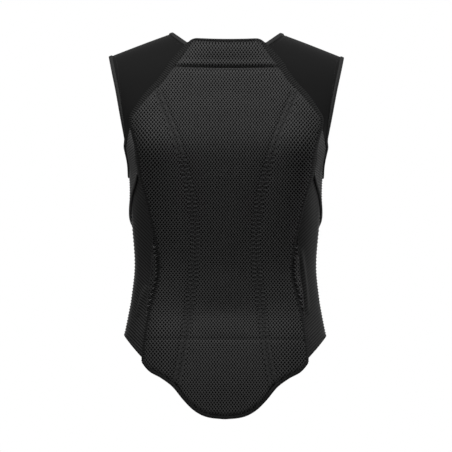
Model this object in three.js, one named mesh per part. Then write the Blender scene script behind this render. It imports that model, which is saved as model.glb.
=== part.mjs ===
// Sleeveless equestrian back protector: a zipped vest whose back is a set of foam pads under open mesh.
// Millimetres, +Z up. The wearer faces +Y, so the pads are on the -Y side, and right is +X.
// The origin lies between the neck points of the shoulders, where the vest hangs on its wearer.
import * as THREE from "three";

// Shoulder line, from the neck point to the tip
const NECK_POINT = { x: 92, z: 0 };
const SHOULDER_TIP = { x: 186.5, z: -36 };
const RIDGE_HUMP = 60; // how broadly the line rounds over in the middle

// Walls and gaps
const GAP = 0.4; // between neighbouring pieces
const SLANT_GAP = 0.6; // the same gap measured level across a slanting edge
const LAP_GAP = 1.1; // between panels that lie over each other
const TAPE_GAP = 2; // between the shoulder tape's curve and the panel's edge, which is straight from row to row
const PANEL_WALL = 2;
const RIB_WALL = 2.4; // ribbed stretch knit of the sides
const TAPE_HEIGHT = 7;
const BAND_WIDTH = 9; // mesh left between the two stitch rows of a seam
const BAND_HEIGHT = 8.5;

// Heights of the sewn lines across the back
const CREASE = -53.5; // under the neck pad
const CROSS_SEAM = -497; // above the tail
const NECK_TOP = { middle: -16.5, corner: -15, x: 51.5 };
const TAIL_CORNER = { x: 125, z: -533 }; // where the side tape ends and the tail binding starts
const HEM = { back: -527, side: -489, front: -488 };

// Pad thickness at the stitched edge and at the crown
const SPINE = { edge: 9.5, crown: 16 };
const WING = { edge: 9, crown: 14.5 };
const NECK = { edge: 7, crown: 13 };
const TAIL = { edge: 8, crown: 12 };
const PAD_ROUND = 20; // how far in from the edge a pad reaches its crown
const ROW = 25; // spacing of the rows down a pad
const WING_TIP = -100; // upper tip of a wing, between the seam and the shoulder tape

// The body that the vest is shaped on: half width, and depth behind and before the shoulder line.
// Above the arms the width is that of the whole shoulder, which the armholes cut away.
const BODY = [
  { z: 40, halfWidth: 232, back: 98, front: 92 },
  { z: -40, halfWidth: 226, back: 97.5, front: 99 },
  { z: -90, halfWidth: 212, back: 99, front: 108 },
  { z: -137, halfWidth: 190, back: 109.5, front: 115 },
  { z: -180, halfWidth: 168, back: 118, front: 119 },
  { z: -225, halfWidth: 153.5, back: 112.5, front: 120 },
  { z: -300, halfWidth: 151.5, back: 97.5, front: 115 },
  { z: -375, halfWidth: 146.3, back: 84, front: 107 },
  { z: -430, halfWidth: 151.5, back: 79.5, front: 106 },
  { z: -460, halfWidth: 156.8, back: 80.5, front: 108 },
  { z: -492, halfWidth: 163, back: 88, front: 111 },
  { z: -525, halfWidth: 167, back: 95.5, front: 114 },
  { z: -560, halfWidth: 169, back: 102.5, front: 117 },
  { z: -640, halfWidth: 173, back: 116, front: 120 },
];
// How square the oval is on each side, and the height over which the shoulder arches up to its ridge
const BACK = { sign: -1, depth: "back", squareness: 3, arch: 115 };
const FRONT = { sign: 1, depth: "front", squareness: 2.4, arch: 150 };

// Ribbed tape from the neck down the slanting shoulder edge: its level extent at each height
const SHOULDER_TAPE = [
  { z: -11, inner: 50, outer: 57 },
  { z: -29, inner: 62.8, outer: 76 },
  { z: -49.5, inner: 78.4, outer: 94.8 },
  { z: -63, inner: 89, outer: 103.6 },
  { z: -77.5, inner: 100, outer: 114.5 },
  { z: -97.5, inner: 118.7, outer: 133 },
  { z: -116.5, inner: 135.3, outer: 145.8 },
  { z: -134, inner: 144.6, outer: 152.6 },
  { z: -147, inner: 146, outer: 152.4 },
  { z: -157, inner: 143.4, outer: 150.2 },
];
// Ribbed tape down the side of the back
const SIDE_TAPE = [
  { z: -155.5, inner: 143.8, outer: 150.6 },
  { z: -175, inner: 138.4, outer: 146.2 },
  { z: -186, inner: 136.1, outer: 144 },
  { z: -202, inner: 133.3, outer: 142.5 },
  { z: -218.5, inner: 131.3, outer: 140.3 },
  { z: -235, inner: 128.5, outer: 136.8 },
  { z: -268, inner: 120.9, outer: 127.6 },
  { z: -300.5, inner: 114.3, outer: 120.2 },
  { z: -333, inner: 107.4, outer: 112.8 },
  { z: -365.5, inner: 102.6, outer: 108 },
  { z: -382.5, inner: 102, outer: 107.4 },
  { z: -399, inner: 103.7, outer: 109.1 },
  { z: -432, inner: 111.3, outer: 117.3 },
  { z: -466, inner: 118.9, outer: 125.2 },
  { z: -499, inner: 123.4, outer: 130.2 },
  { z: -524, inner: 125.9, outer: 132.9 },
];
// Middle of the double-stitched seam between the spine and a wing, down to the tail's edge
const SEAM = [
  { z: -90, x: 112.7 },
  { z: -122, x: 100.4 },
  { z: -155, x: 87.5 },
  { z: -186.5, x: 75.5 },
  { z: -226.5, x: 63.8 },
  { z: -267.5, x: 54.6 },
  { z: -310, x: 49.8 },
  { z: -350, x: 48.4 },
  { z: -391, x: 51.3 },
  { z: -432, x: 57.2 },
  { z: -491, x: 64.6 },
  { z: -562, x: 77 },
  { z: -580, x: 80 },
];
// Lower edge of the tail pads, inside the binding
const TAIL_EDGE = [
  { x: 0, z: -619.5 },
  { x: 28, z: -616 },
  { x: 46.6, z: -606.5 },
  { x: 63.4, z: -590 },
  { x: 80.6, z: -569 },
  { x: 100, z: -553.8 },
  { x: 116.5, z: -544 },
  { x: 127, z: -531 },
  { x: 132, z: -520 },
];
// Edge of the panels round the armhole, inside the binding: down the back, under the arm, up the front
const ARM_BACK = [
  { z: -36, x: 186.5 },
  { z: -60, x: 181.5 },
  { z: -90, x: 175 },
  { z: -137, x: 166.5 },
  { z: -165, x: 161.5 },
  { z: -200, x: 156.5 },
];
const ARM_LOW = [
  { angle: 72, z: -200 },
  { angle: 80, z: -221 },
  { angle: 90, z: -232 },
  { angle: 102, z: -225 },
  { angle: 111.3, z: -205 },
];
const ARM_FRONT = [
  { z: -205, x: 150 },
  { z: -180, x: 150.5 },
  { z: -150, x: 153 },
  { z: -115, x: 160 },
  { z: -80, x: 172 },
  { z: -54, x: 182 },
  { z: -36, x: 186.5 },
];
// Edge of the panels round the neck: from the shoulder tape over the ridge and down to the zip
const NECK_BACK = [
  { t: 0, x: 66.5, z: -18 },
  { t: 0.5, x: 80, z: -8.5 },
  { t: 1, x: 92, z: 0 },
];
const NECK_FRONT = [
  { t: 0, x: 92, z: 0 },
  { t: 0.16, x: 88, z: -14 },
  { t: 0.4, x: 76, z: -37 },
  { t: 0.65, x: 54, z: -62 },
  { t: 0.85, x: 29, z: -78 },
  { t: 1, x: 8, z: -84 },
];
// Places along those edges where the panels and their bindings have a row
const ARM_BACK_ROWS = [-36, -41, -48, -62, -76, -90, -104, -118, -132, -151, -168, -184];
const ARM_LOW_ROWS = [72, 78, 84, 90, 96, 102, 107, 111.3];
const ARM_FRONT_ROWS = [-180, -155, -130, -105, -80, -54];
const NECK_BACK_ROWS = [0.1, 0.4, 0.7];
const NECK_FRONT_ROWS = [0.16, 0.3, 0.44, 0.58, 0.72, 0.86];

// Seam between the side and the front panel
const FRONT_SEAM = [
  { z: -490, x: 112 },
  { z: -375, x: 100 },
  { z: -300, x: 110 },
  { z: -240, x: 130 },
  { z: -205, x: 149.5 },
];
// Lower edge of the underarm panel, which laps over the side panel
const UNDERARM_HEM = [
  { angle: 60, z: -221 },
  { angle: 67, z: -240 },
  { angle: 75, z: -257 },
  { angle: 83, z: -275 },
  { angle: 90, z: -293 },
  { angle: 110, z: -316 },
  { angle: 128, z: -322 },
];
const UNDERARM_LAP = 30; // how far the side panel runs up behind it

// Gusset of open mesh that shows beside the waist, where the back stands off the side
const GUSSET = { top: -322, bottom: -462, width: 13, height: 5, thin: 1.2 };

// Round-edged section of a folded binding, across from the panel's edge and up from the body
const NECK_BINDING = { width: 5.5, height: 4.4 };
const ARM_BINDING = { width: 4.6, height: 4.2 };
const TAIL_BINDING = { width: 6.5, height: 8.5 };
const NECK_RIM = { width: 3.6, height: 8 };

const ZIP = { half: 6.5, coil: 2.4, tape: 1.8, rise: 4, top: -86, slider: 18, sliderRise: 7.5 };

// Reads a table column at a place, as a smooth curve through its rows.
function read(table, column, at, by = "z") {
  const down = table[1][by] < table[0][by];
  const passed = (row) => (down ? at < row[by] : at > row[by]);
  let i = 0;
  while (i < table.length - 2 && passed(table[i + 1])) i++;
  const slope = (k) => {
    const before = table[Math.max(k - 1, 0)];
    const after = table[Math.min(k + 1, table.length - 1)];
    return (after[column] - before[column]) / (after[by] - before[by]);
  };
  const [a, b] = [table[i], table[i + 1]];
  const span = b[by] - a[by];
  const t = THREE.MathUtils.clamp((at - a[by]) / span, 0, 1);
  const rise = b[column] - a[column];
  const [from, to] = [slope(i) * span, slope(i + 1) * span];
  return a[column] + t * (from + t * (3 * rise - 2 * from - to + t * (from + to - 2 * rise)));
}

// Evenly spaced numbers from first to last.
function steps(first, last, count) {
  return Array.from({ length: count + 1 }, (_, i) => first + ((last - first) * i) / count);
}

// Shares from 0 to 1 that crowd towards both ends, where a padded edge rounds over.
function crowded(count) {
  return steps(0, Math.PI, count).map((a) => (1 - Math.cos(a)) / 2);
}

// Height of the shoulder ridge, carried on across the neck as a round hump.
function ridge(x) {
  const run = (at) => Math.hypot(at, RIDGE_HUMP);
  const fall = (NECK_POINT.z - SHOULDER_TIP.z) / (run(SHOULDER_TIP.x) - run(NECK_POINT.x));
  return NECK_POINT.z - fall * (run(x) - run(NECK_POINT.x));
}

// Share of the full depth that the shoulder arch leaves at a place.
function archShare(x, z, side) {
  const drop = Math.min(1, (ridge(x) - z) / side.arch);
  return 1 - (1 - drop) ** 2;
}

function depthAt(x, z, side) {
  const width = read(BODY, "halfWidth", z);
  const round = Math.max(0, 1 - Math.abs(x / width) ** side.squareness) ** (1 / side.squareness);
  return read(BODY, side.depth, z) * round * Math.sqrt(Math.max(0, archShare(x, z, side)));
}

// Zero on the body's surface and falling outwards. Near the ridge a second form of it stays well shaped.
function bodyField(p) {
  const side = p.y < 0 ? BACK : FRONT;
  const n = side.squareness;
  const across = Math.abs(p.x / read(BODY, "halfWidth", p.z)) ** n;
  const deep = Math.abs(p.y / read(BODY, side.depth, p.z));
  const share = archShare(p.x, p.z, side);
  if (share > 0.6) return 1 - across - (deep / Math.sqrt(share)) ** n;
  return Math.max(0, 1 - across) ** (2 / n) * share - deep ** 2;
}

function outward(p) {
  const reach = 0.2;
  const normal = new THREE.Vector3();
  for (const axis of ["x", "y", "z"]) {
    const ahead = p.clone();
    const behind = p.clone();
    ahead[axis] += reach;
    behind[axis] -= reach;
    normal[axis] = bodyField(behind) - bodyField(ahead);
  }
  return normal.normalize();
}

// A spot is a point on the body and the direction out of it.
function spotAt(point) {
  return { point, normal: outward(point) };
}
const onBack = (x, z) => spotAt(new THREE.Vector3(x, -depthAt(x, z, BACK), z));
const onFront = (x, z) => spotAt(new THREE.Vector3(x, depthAt(x, z, FRONT), z));

// The same body by angle round the right side: 0 at the middle of the back, 180 at the zip.
function around(angle, z) {
  const side = angle < 90 ? BACK : FRONT;
  const turn = THREE.MathUtils.degToRad(angle < 90 ? angle : 180 - angle);
  const x = read(BODY, "halfWidth", z) * Math.sin(turn) ** (2 / side.squareness);
  const deep = read(BODY, side.depth, z) * Math.max(0, Math.cos(turn)) ** (2 / side.squareness);
  const share = Math.sqrt(archShare(x, z, side));
  return spotAt(new THREE.Vector3(x, side.sign * deep * share, z));
}

function angleOf(x, z, side) {
  const share = Math.min(1, x / read(BODY, "halfWidth", z)) ** (side.squareness / 2);
  const turn = THREE.MathUtils.radToDeg(Math.asin(share));
  return side === BACK ? turn : 180 - turn;
}

// A grid of spots ruled between two edges, each a list of places of the same length.
function ruled(edgeA, edgeB, shares, place) {
  return edgeA.map(([a, b], i) =>
    shares.map((t) => place(a + (edgeB[i][0] - a) * t, b + (edgeB[i][1] - b) * t)),
  );
}

function geometryOf(positions, faces) {
  const geometry = new THREE.BufferGeometry();
  geometry.setAttribute("position", new THREE.Float32BufferAttribute(positions, 3));
  geometry.setIndex(faces);
  return facingOut(geometry);
}

// Turns every face round if the solid came out inside out.
function facingOut(geometry) {
  const at = geometry.getAttribute("position");
  const index = geometry.getIndex();
  const corner = (i) => new THREE.Vector3().fromBufferAttribute(at, index.getX(i));
  let volume = 0;
  for (let i = 0; i < index.count; i += 3) {
    volume += corner(i).dot(corner(i + 1).cross(corner(i + 2)));
  }
  if (volume < 0) index.array.reverse();
  geometry.computeVertexNormals();
  return geometry;
}

// A closed wall over a grid of spots, between two heights off the body.
// A height is a number, or a function of the shares across (u) and along (v) and of the spot.
function wall(grid, low, high) {
  const rows = grid.length;
  const columns = grid[0].length;
  const positions = [];
  for (const height of [low, high]) {
    grid.forEach((row, i) =>
      row.forEach(({ point, normal }, j) => {
        const h = typeof height === "number" ? height : height(j / (columns - 1), i / (rows - 1), row[j]);
        positions.push(...point.clone().addScaledVector(normal, h).toArray());
      }),
    );
  }
  const at = (sheet, i, j) => sheet * rows * columns + i * columns + j;
  const faces = [];
  const quad = (a, b, c, d) => faces.push(a, b, c, a, c, d);
  for (let i = 0; i < rows - 1; i++) {
    for (let j = 0; j < columns - 1; j++) {
      quad(at(0, i, j), at(0, i, j + 1), at(0, i + 1, j + 1), at(0, i + 1, j));
      quad(at(1, i, j), at(1, i + 1, j), at(1, i + 1, j + 1), at(1, i, j + 1));
    }
  }
  const rim = (i, j, k, l) => quad(at(0, i, j), at(1, i, j), at(1, k, l), at(0, k, l));
  for (let j = 0; j < columns - 1; j++) {
    rim(0, j, 0, j + 1);
    rim(rows - 1, j + 1, rows - 1, j);
  }
  for (let i = 0; i < rows - 1; i++) {
    rim(i + 1, 0, i, 0);
    rim(i, columns - 1, i + 1, columns - 1);
  }
  return geometryOf(positions, faces);
}

// A closed strip along a path of spots. Its section lies beside the path, on the side that `away` says.
function binding(path, { width, height }, away, looped = false) {
  const corner = Math.min(width, height) * 0.3;
  const section = [
    [GAP, corner],
    [GAP, height - corner],
    [GAP + corner, height],
    [GAP + width - corner, height],
    [GAP + width, height - corner],
    [GAP + width, corner],
    [GAP + width - corner, 0],
    [GAP + corner, 0],
  ];
  const count = path.length;
  const sides = section.length;
  const positions = [];
  path.forEach(({ point, normal }, i) => {
    const before = path[looped ? (i + count - 1) % count : Math.max(i - 1, 0)].point;
    const after = path[looped ? (i + 1) % count : Math.min(i + 1, count - 1)].point;
    const across = after.clone().sub(before).cross(normal).normalize().multiplyScalar(away);
    for (const [out, up] of section) {
      const corner = point.clone().addScaledVector(across, out).addScaledVector(normal, up);
      positions.push(...corner.toArray());
    }
  });
  const faces = [];
  for (let i = 0; i < (looped ? count : count - 1); i++) {
    for (let k = 0; k < sides; k++) {
      const [a, b] = [i * sides + k, i * sides + ((k + 1) % sides)];
      const next = ((i + 1) % count) * sides - i * sides;
      faces.push(a, b, b + next, a, b + next, a + next);
    }
  }
  for (let k = 1; k < sides - 1 && !looped; k++) {
    const end = (count - 1) * sides;
    faces.push(0, k + 1, k, end, end + k, end + k + 1);
  }
  return geometryOf(positions, faces);
}

// Share of a pad's crown reached at a distance from its stitched edge, as a quarter round.
function roundOver(distance) {
  const t = THREE.MathUtils.clamp(distance / PAD_ROUND, 0, 1);
  return Math.sqrt(1 - (1 - t) ** 2);
}

// Shares along a pad of some length: even rows, and closer ones where its ends round over.
function padRows(length) {
  const close = [0, 1.5, 5].map((d) => d / length);
  const even = steps(0, 1, Math.ceil(length / ROW)).slice(1, -1);
  return [...close, ...even, ...close.map((t) => 1 - t).reverse()];
}

// A crowned pad. `edges` gives its two sides and `level` its height at a share of the way up.
function pad({ rows, columns, edges, level, thick }) {
  const grid = rows.map((t) => {
    const [a, b] = edges(t);
    return crowded(columns).map((s) => {
      const x = THREE.MathUtils.lerp(a, b, s);
      const z = level(x, t);
      const side = roundOver(Math.min(x - a, b - x));
      const end = roundOver(Math.min(Math.abs(z - level(x, 0)), Math.abs(z - level(x, 1))));
      return { ...onBack(x, z), height: thick.edge + (thick.crown - thick.edge) * side * end };
    });
  });
  return wall(grid, 0, (u, v, spot) => spot.height);
}

// Middle of the seam at a height, and the edges of the pads beside it
const seamAt = (z) => read(SEAM, "x", z);
const spineHalf = (z) => {
  const beside = seamAt(z) - BAND_WIDTH / 2 - SLANT_GAP;
  return z > SEAM[0].z ? slantInner(z) : Math.min(slantInner(z), beside);
};
const slantInner = (z) => read(SHOULDER_TAPE, "inner", z) - SLANT_GAP;
const wingOuter = (z) => {
  const beside = read(SIDE_TAPE, "inner", z) - SLANT_GAP;
  return z > SIDE_TAPE[0].z ? slantInner(z) : Math.min(slantInner(z), beside);
};
const besideSide = (z) => read(SIDE_TAPE, "outer", z) + SLANT_GAP;
const tailEdge = (x) => read(TAIL_EDGE, "z", Math.abs(x), "x");

function neckPad() {
  const [low, high] = [CREASE + GAP, NECK_TOP.corner];
  const dip = NECK_TOP.middle - NECK_TOP.corner;
  const half = (t) => slantInner(THREE.MathUtils.lerp(low, high, t));
  return pad({
    rows: padRows(high - low),
    columns: 10,
    edges: (t) => [-half(t), half(t)],
    level: (x, t) => THREE.MathUtils.lerp(low, high, t) + dip * t * (1 - (x / half(t)) ** 2),
    thick: NECK,
  });
}

function spinePad() {
  const [low, high] = [CROSS_SEAM + GAP, CREASE - GAP];
  const half = (t) => spineHalf(THREE.MathUtils.lerp(low, high, t));
  return pad({
    rows: padRows(high - low),
    columns: 8,
    edges: (t) => [-half(t), half(t)],
    level: (x, t) => THREE.MathUtils.lerp(low, high, t),
    thick: SPINE,
  });
}

function wingPad() {
  const [low, high] = [CROSS_SEAM + GAP, WING_TIP];
  const height = (t) => THREE.MathUtils.lerp(low, high, t);
  return pad({
    rows: padRows(high - low),
    columns: 6,
    edges: (t) => [seamAt(height(t)) + BAND_WIDTH / 2 + SLANT_GAP, wingOuter(height(t))],
    level: (x, t) => height(t),
    thick: WING,
  });
}

// The band of mesh between a seam's two stitch rows.
function seamBand(top, bottom, count) {
  const levels = steps(top, bottom, count);
  const inner = levels.map((z) => [seamAt(z) - BAND_WIDTH / 2, z]);
  const outer = levels.map((z) => [seamAt(z) + BAND_WIDTH / 2, z]);
  return wall(ruled(inner, outer, [0, 0.5, 1], onBack), 0, (u) => BAND_HEIGHT - 1.5 * Math.abs(2 * u - 1));
}

// Distance from the middle at which a tail piece borders a line of the table, at a share of the way down.
function tailBeside(table, column, beside, t) {
  let x = TAIL_CORNER.x;
  for (let i = 0; i < 8; i++) {
    x = read(table, column, THREE.MathUtils.lerp(CROSS_SEAM, tailEdge(x), t)) + beside;
  }
  return x;
}

function tailPad() {
  const half = (t) => tailBeside(SEAM, "x", -BAND_WIDTH / 2 - SLANT_GAP, t);
  return pad({
    rows: padRows(CROSS_SEAM - tailEdge(0)),
    columns: 10,
    edges: (t) => [-half(t), half(t)],
    level: (x, t) => THREE.MathUtils.lerp(CROSS_SEAM - GAP, tailEdge(x), t),
    thick: TAIL,
  });
}

function tailWing() {
  const inner = (t) => tailBeside(SEAM, "x", BAND_WIDTH / 2 + SLANT_GAP, t);
  const outer = (t) => tailBeside(SIDE_TAPE, "inner", -SLANT_GAP, t);
  return pad({
    rows: padRows(CROSS_SEAM - tailEdge(88)),
    columns: 6,
    edges: (t) => [inner(t), outer(t)],
    level: (x, t) => THREE.MathUtils.lerp(CROSS_SEAM - GAP, tailEdge(x), t),
    thick: TAIL,
  });
}

// The lower end of a seam's band, down to the binding.
function tailBand() {
  const beside = (way) => (t) => tailBeside(SEAM, "x", (way * BAND_WIDTH) / 2, t);
  return pad({
    rows: padRows(CROSS_SEAM - tailEdge(80)),
    columns: 2,
    edges: (t) => [beside(-1)(t), beside(1)(t)],
    level: (x, t) => THREE.MathUtils.lerp(CROSS_SEAM - GAP, tailEdge(x), t),
    thick: { edge: BAND_HEIGHT - 1.5, crown: BAND_HEIGHT },
  });
}

// A ribbed tape between the inner and outer columns of its table, rounded across.
function tape(table, top, bottom, count) {
  const levels = steps(top, bottom, count);
  const inner = levels.map((z) => [read(table, "inner", z), z]);
  const outer = levels.map((z) => [read(table, "outer", z), z]);
  const rounded = (u) => TAPE_HEIGHT * (1 - 0.45 * (2 * u - 1) ** 2);
  return wall(ruled(inner, outer, [0, 0.3, 0.7, 1], onBack), 0, rounded);
}

function tailBinding() {
  const path = crowded(26).map((t) => {
    const x = TAIL_CORNER.x * (2 * t - 1);
    return onBack(x, tailEdge(x) - GAP / 2);
  });
  return binding(path, TAIL_BINDING, 1);
}

function neckRim() {
  const dip = NECK_TOP.middle - NECK_TOP.corner;
  const path = steps(-NECK_TOP.x, NECK_TOP.x, 12).map((x) =>
    onBack(x, NECK_TOP.corner + dip * (1 - (x / NECK_TOP.x) ** 2)),
  );
  return binding(path, NECK_RIM, -1);
}

const armBack = (z) => [read(ARM_BACK, "x", z), z];
const armFront = (z) => [read(ARM_FRONT, "x", z), z];
const armLow = (angle) => [angle, read(ARM_LOW, "z", angle, "angle")];
const neckBack = (t) => [read(NECK_BACK, "x", t, "t"), read(NECK_BACK, "z", t, "t")];
const neckFront = (t) => [read(NECK_FRONT, "x", t, "t"), read(NECK_FRONT, "z", t, "t")];

// Panel from the shoulder tape over the ridge to a seam just in front of it.
function shoulderPanel() {
  const arms = ARM_BACK_ROWS.slice(0, -2).reverse();
  const beside = arms.slice(0, -NECK_BACK_ROWS.length - 1);
  const tapeRows = steps(beside[0], NECK_BACK[0].z, beside.length - 1);
  const across = steps(0, 1, 6);
  const row = ([x, z], [armX, armZ], place) =>
    across.map((t) => place(THREE.MathUtils.lerp(x, armX, t), THREE.MathUtils.lerp(z, armZ, t)));
  const grid = [
    ...tapeRows.map((z, i) => row([read(SHOULDER_TAPE, "outer", z) + TAPE_GAP, z], armBack(beside[i]), onBack)),
    ...NECK_BACK_ROWS.map((t, i) => row(neckBack(t), armBack(arms[beside.length + i]), onBack)),
    row(neckBack(1), armBack(SHOULDER_TIP.z), onFront),
    row(neckFront(NECK_FRONT_ROWS[0]), armFront(ARM_FRONT_ROWS.at(-1)), onFront),
  ];
  return wall(grid, 0, PANEL_WALL);
}

// Front panel from the zip to the side seam and armhole, up to the neckline and the shoulder seam.
function frontPanel() {
  const zip = steps(HEM.front, NECK_FRONT.at(-1).z, 7).map((z) => [ZIP.half + GAP, z]);
  const side = steps(HEM.front, FRONT_SEAM.at(-1).z, 7);
  const inner = [...zip, ...NECK_FRONT_ROWS.toReversed().map(neckFront)];
  const outer = [
    ...side.map((z) => [read(FRONT_SEAM, "x", z) - LAP_GAP, z]),
    ...ARM_FRONT_ROWS.map(armFront),
  ];
  const top = inner.length - 1;
  inner[top] = [inner[top][0], inner[top][1] - GAP];
  outer[top] = [outer[top][0], outer[top][1] - GAP];
  return wall(ruled(inner, outer, steps(0, 1, 6), onFront), 0, PANEL_WALL);
}

function armPath() {
  return [
    ...ARM_BACK_ROWS.map((z) => onBack(...armBack(z))),
    ...ARM_LOW_ROWS.map((angle) => around(...armLow(angle))),
    ...ARM_FRONT_ROWS.map((z) => onFront(...armFront(z))),
  ];
}

function neckPath() {
  return [
    ...NECK_BACK_ROWS.map((t) => onBack(...neckBack(t))),
    ...[0, ...NECK_FRONT_ROWS, 0.98].map((t) => onFront(...neckFront(t))),
  ];
}

// Ribbed panel under the arm, which laps over the top of the side panel.
function underarmPanel() {
  const corner = -155;
  const arm = [
    [rearAngle(corner), corner],
    ...ARM_BACK_ROWS.slice(-2).map((z) => [angleOf(...armBack(z), BACK), z]),
    ...ARM_LOW_ROWS.map(armLow),
  ];
  const columns = arm.length - 1;
  // Both upright edges bow to follow their seams, and the rows between follow less and less.
  const bow = (i, v, seam) => {
    const [hemAngle, hemZ] = underarmHem(i / columns);
    const z = THREE.MathUtils.lerp(hemZ, arm[i][1], v);
    return seam(z) - THREE.MathUtils.lerp(hemAngle, arm[i][0], v);
  };
  const grid = steps(0, 1, 6).map((v) =>
    arm.map(([armAngle, armZ], i) => {
      const t = i / columns;
      const [hemAngle, hemZ] = underarmHem(t);
      const bowed = bow(0, v, rearAngle) * (1 - t) ** 4 + bow(columns, v, frontAngle) * t ** 4;
      const angle = THREE.MathUtils.lerp(hemAngle, armAngle, v) + bowed;
      return around(angle, THREE.MathUtils.lerp(hemZ, armZ, v));
    }),
  );
  const low = RIB_WALL + LAP_GAP;
  return wall(grid, low, low + RIB_WALL);
}
// Angle of the side tape's edge and of the front seam at a height, and a place along the underarm hem
const rearAngle = (z) => angleOf(besideSide(z), z, BACK);
const frontAngle = (z) => angleOf(read(FRONT_SEAM, "x", z), z, FRONT);
const underarmHem = (t) => {
  const angle = THREE.MathUtils.lerp(rearAngle(UNDERARM_HEM[0].z), frontAngle(UNDERARM_HEM.at(-1).z), t);
  return [angle, read(UNDERARM_HEM, "z", angle, "angle")];
};

// Ribbed side panel from the back's side tape to the front seam.
function sidePanel() {
  const hem = (t) => {
    const rise = 1 - (1 - Math.min(1, 2 * t)) ** 2; // close to straight as seen from behind
    return THREE.MathUtils.lerp(HEM.back, HEM.side, rise) + (HEM.front - HEM.side) * Math.max(0, 2 * t - 1);
  };
  const grid = steps(0, 1, 17).map((v) =>
    steps(0, 1, 8).map((t) => {
      const z = THREE.MathUtils.lerp(hem(t), underarmHem(t)[1] + UNDERARM_LAP, v);
      return around(THREE.MathUtils.lerp(rearAngle(z), frontAngle(z), t), z);
    }),
  );
  return wall(grid, 0, RIB_WALL);
}

// Wedge of open mesh from the side tape down onto the side panel.
function waistGusset() {
  const levels = steps(GUSSET.top, GUSSET.bottom, 8);
  const width = (z) => {
    const t = (z - GUSSET.top) / (GUSSET.bottom - GUSSET.top);
    return 1.5 + GUSSET.width * Math.sin(Math.PI * t) ** 1.2;
  };
  const inner = levels.map((z) => [besideSide(z), z]);
  const outer = levels.map((z) => [besideSide(z) + width(z), z]);
  const low = RIB_WALL + LAP_GAP;
  const slope = (u) => low + GUSSET.thin + (GUSSET.height - GUSSET.thin) * (1 - u);
  return wall(ruled(inner, outer, [0, 0.5, 1], onBack), low, slope);
}

// Closed zip as one plain piece: two tapes, the coil between them and the slider at the top.
function frontZip() {
  const across = [-1, -0.42, -0.36, 0, 0.36, 0.42, 1];
  const levels = [...steps(HEM.front, ZIP.top - ZIP.slider - 1, 9), ZIP.top - ZIP.slider, ZIP.top - 1, ZIP.top];
  const grid = levels.map((z) => across.map((s) => onFront(s * ZIP.half, z)));
  const coil = (u) => Math.abs(2 * u - 1) < 0.4;
  const height = (u, v) => {
    const slider = v > 0.9 && v < 1;
    return coil(u) ? (slider ? ZIP.sliderRise : ZIP.rise) : ZIP.tape;
  };
  return wall(grid, 0, height);
}

function cloth(color, roughness) {
  return new THREE.MeshStandardMaterial({ color, roughness, metalness: 0 });
}
const MESH_COVER = cloth(0x343434, 0.75);
const RIBBED_TAPE = cloth(0x2e2e2e, 0.7);
const SMOOTH_BINDING = cloth(0x1c1c1c, 0.65);
const STRETCH_CLOTH = cloth(0x212121, 0.85);
const RIB_KNIT = cloth(0x262525, 0.7);
const ZIP_BLACK = cloth(0x151515, 0.5);

const vest = new THREE.Group();
vest.name = "back_protector";

function add(name, geometry, material) {
  const mesh = new THREE.Mesh(geometry, material);
  mesh.name = name;
  vest.add(mesh);
  return mesh;
}
// A piece of the right side and its mirror image on the left.
function addPair(name, geometry, material) {
  add(`${name}_right`, geometry, material);
  add(`${name}_left`, geometry, material).scale.x = -1;
}

add("neck_pad", neckPad(), MESH_COVER);
add("spine_pad", spinePad(), MESH_COVER);
addPair("wing_pad", wingPad(), MESH_COVER);
addPair("seam_band", seamBand(-95, CROSS_SEAM + GAP, 20), MESH_COVER);
add("tail_pad", tailPad(), MESH_COVER);
addPair("tail_wing", tailWing(), MESH_COVER);
addPair("tail_band", tailBand(), MESH_COVER);
addPair("waist_gusset", waistGusset(), MESH_COVER);

addPair("shoulder_tape", tape(SHOULDER_TAPE, -11, -154.5, 14), RIBBED_TAPE);
addPair("side_tape", tape(SIDE_TAPE, SIDE_TAPE[0].z, TAIL_CORNER.z, 20), RIBBED_TAPE);
add("tail_binding", tailBinding(), SMOOTH_BINDING);
add("neck_rim", neckRim(), SMOOTH_BINDING);

addPair("shoulder_panel", shoulderPanel(), STRETCH_CLOTH);
addPair("front_panel", frontPanel(), STRETCH_CLOTH);
addPair("neck_binding", binding(neckPath(), NECK_BINDING, -1), RIBBED_TAPE);
addPair("arm_binding", binding(armPath(), ARM_BINDING, -1, true), SMOOTH_BINDING);
addPair("underarm_panel", underarmPanel(), RIB_KNIT);
addPair("side_panel", sidePanel(), RIB_KNIT);
add("front_zip", frontZip(), ZIP_BLACK);

export default vest;
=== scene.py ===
import math
from types import SimpleNamespace as Sizes

import bmesh
import bpy
import numpy as np
from mathutils import Matrix, Vector


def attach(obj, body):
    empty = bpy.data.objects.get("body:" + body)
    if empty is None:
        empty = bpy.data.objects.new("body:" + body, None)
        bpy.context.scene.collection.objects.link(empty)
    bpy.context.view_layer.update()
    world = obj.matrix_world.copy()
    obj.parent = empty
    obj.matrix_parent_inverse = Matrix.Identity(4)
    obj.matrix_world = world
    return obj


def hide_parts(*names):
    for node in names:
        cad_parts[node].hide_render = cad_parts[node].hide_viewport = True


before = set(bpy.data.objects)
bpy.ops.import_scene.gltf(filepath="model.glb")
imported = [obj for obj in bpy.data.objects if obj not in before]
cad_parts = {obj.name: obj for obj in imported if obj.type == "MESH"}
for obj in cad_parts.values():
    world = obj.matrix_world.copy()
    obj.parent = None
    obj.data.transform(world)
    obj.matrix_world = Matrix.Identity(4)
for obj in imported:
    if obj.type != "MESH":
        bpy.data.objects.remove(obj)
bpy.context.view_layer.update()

MM = 0.001


def table(columns, *rows):
    """Rows of numbers in millimetres under named columns."""
    return dict(zip(columns.split(), np.array(rows, float).T))


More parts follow.
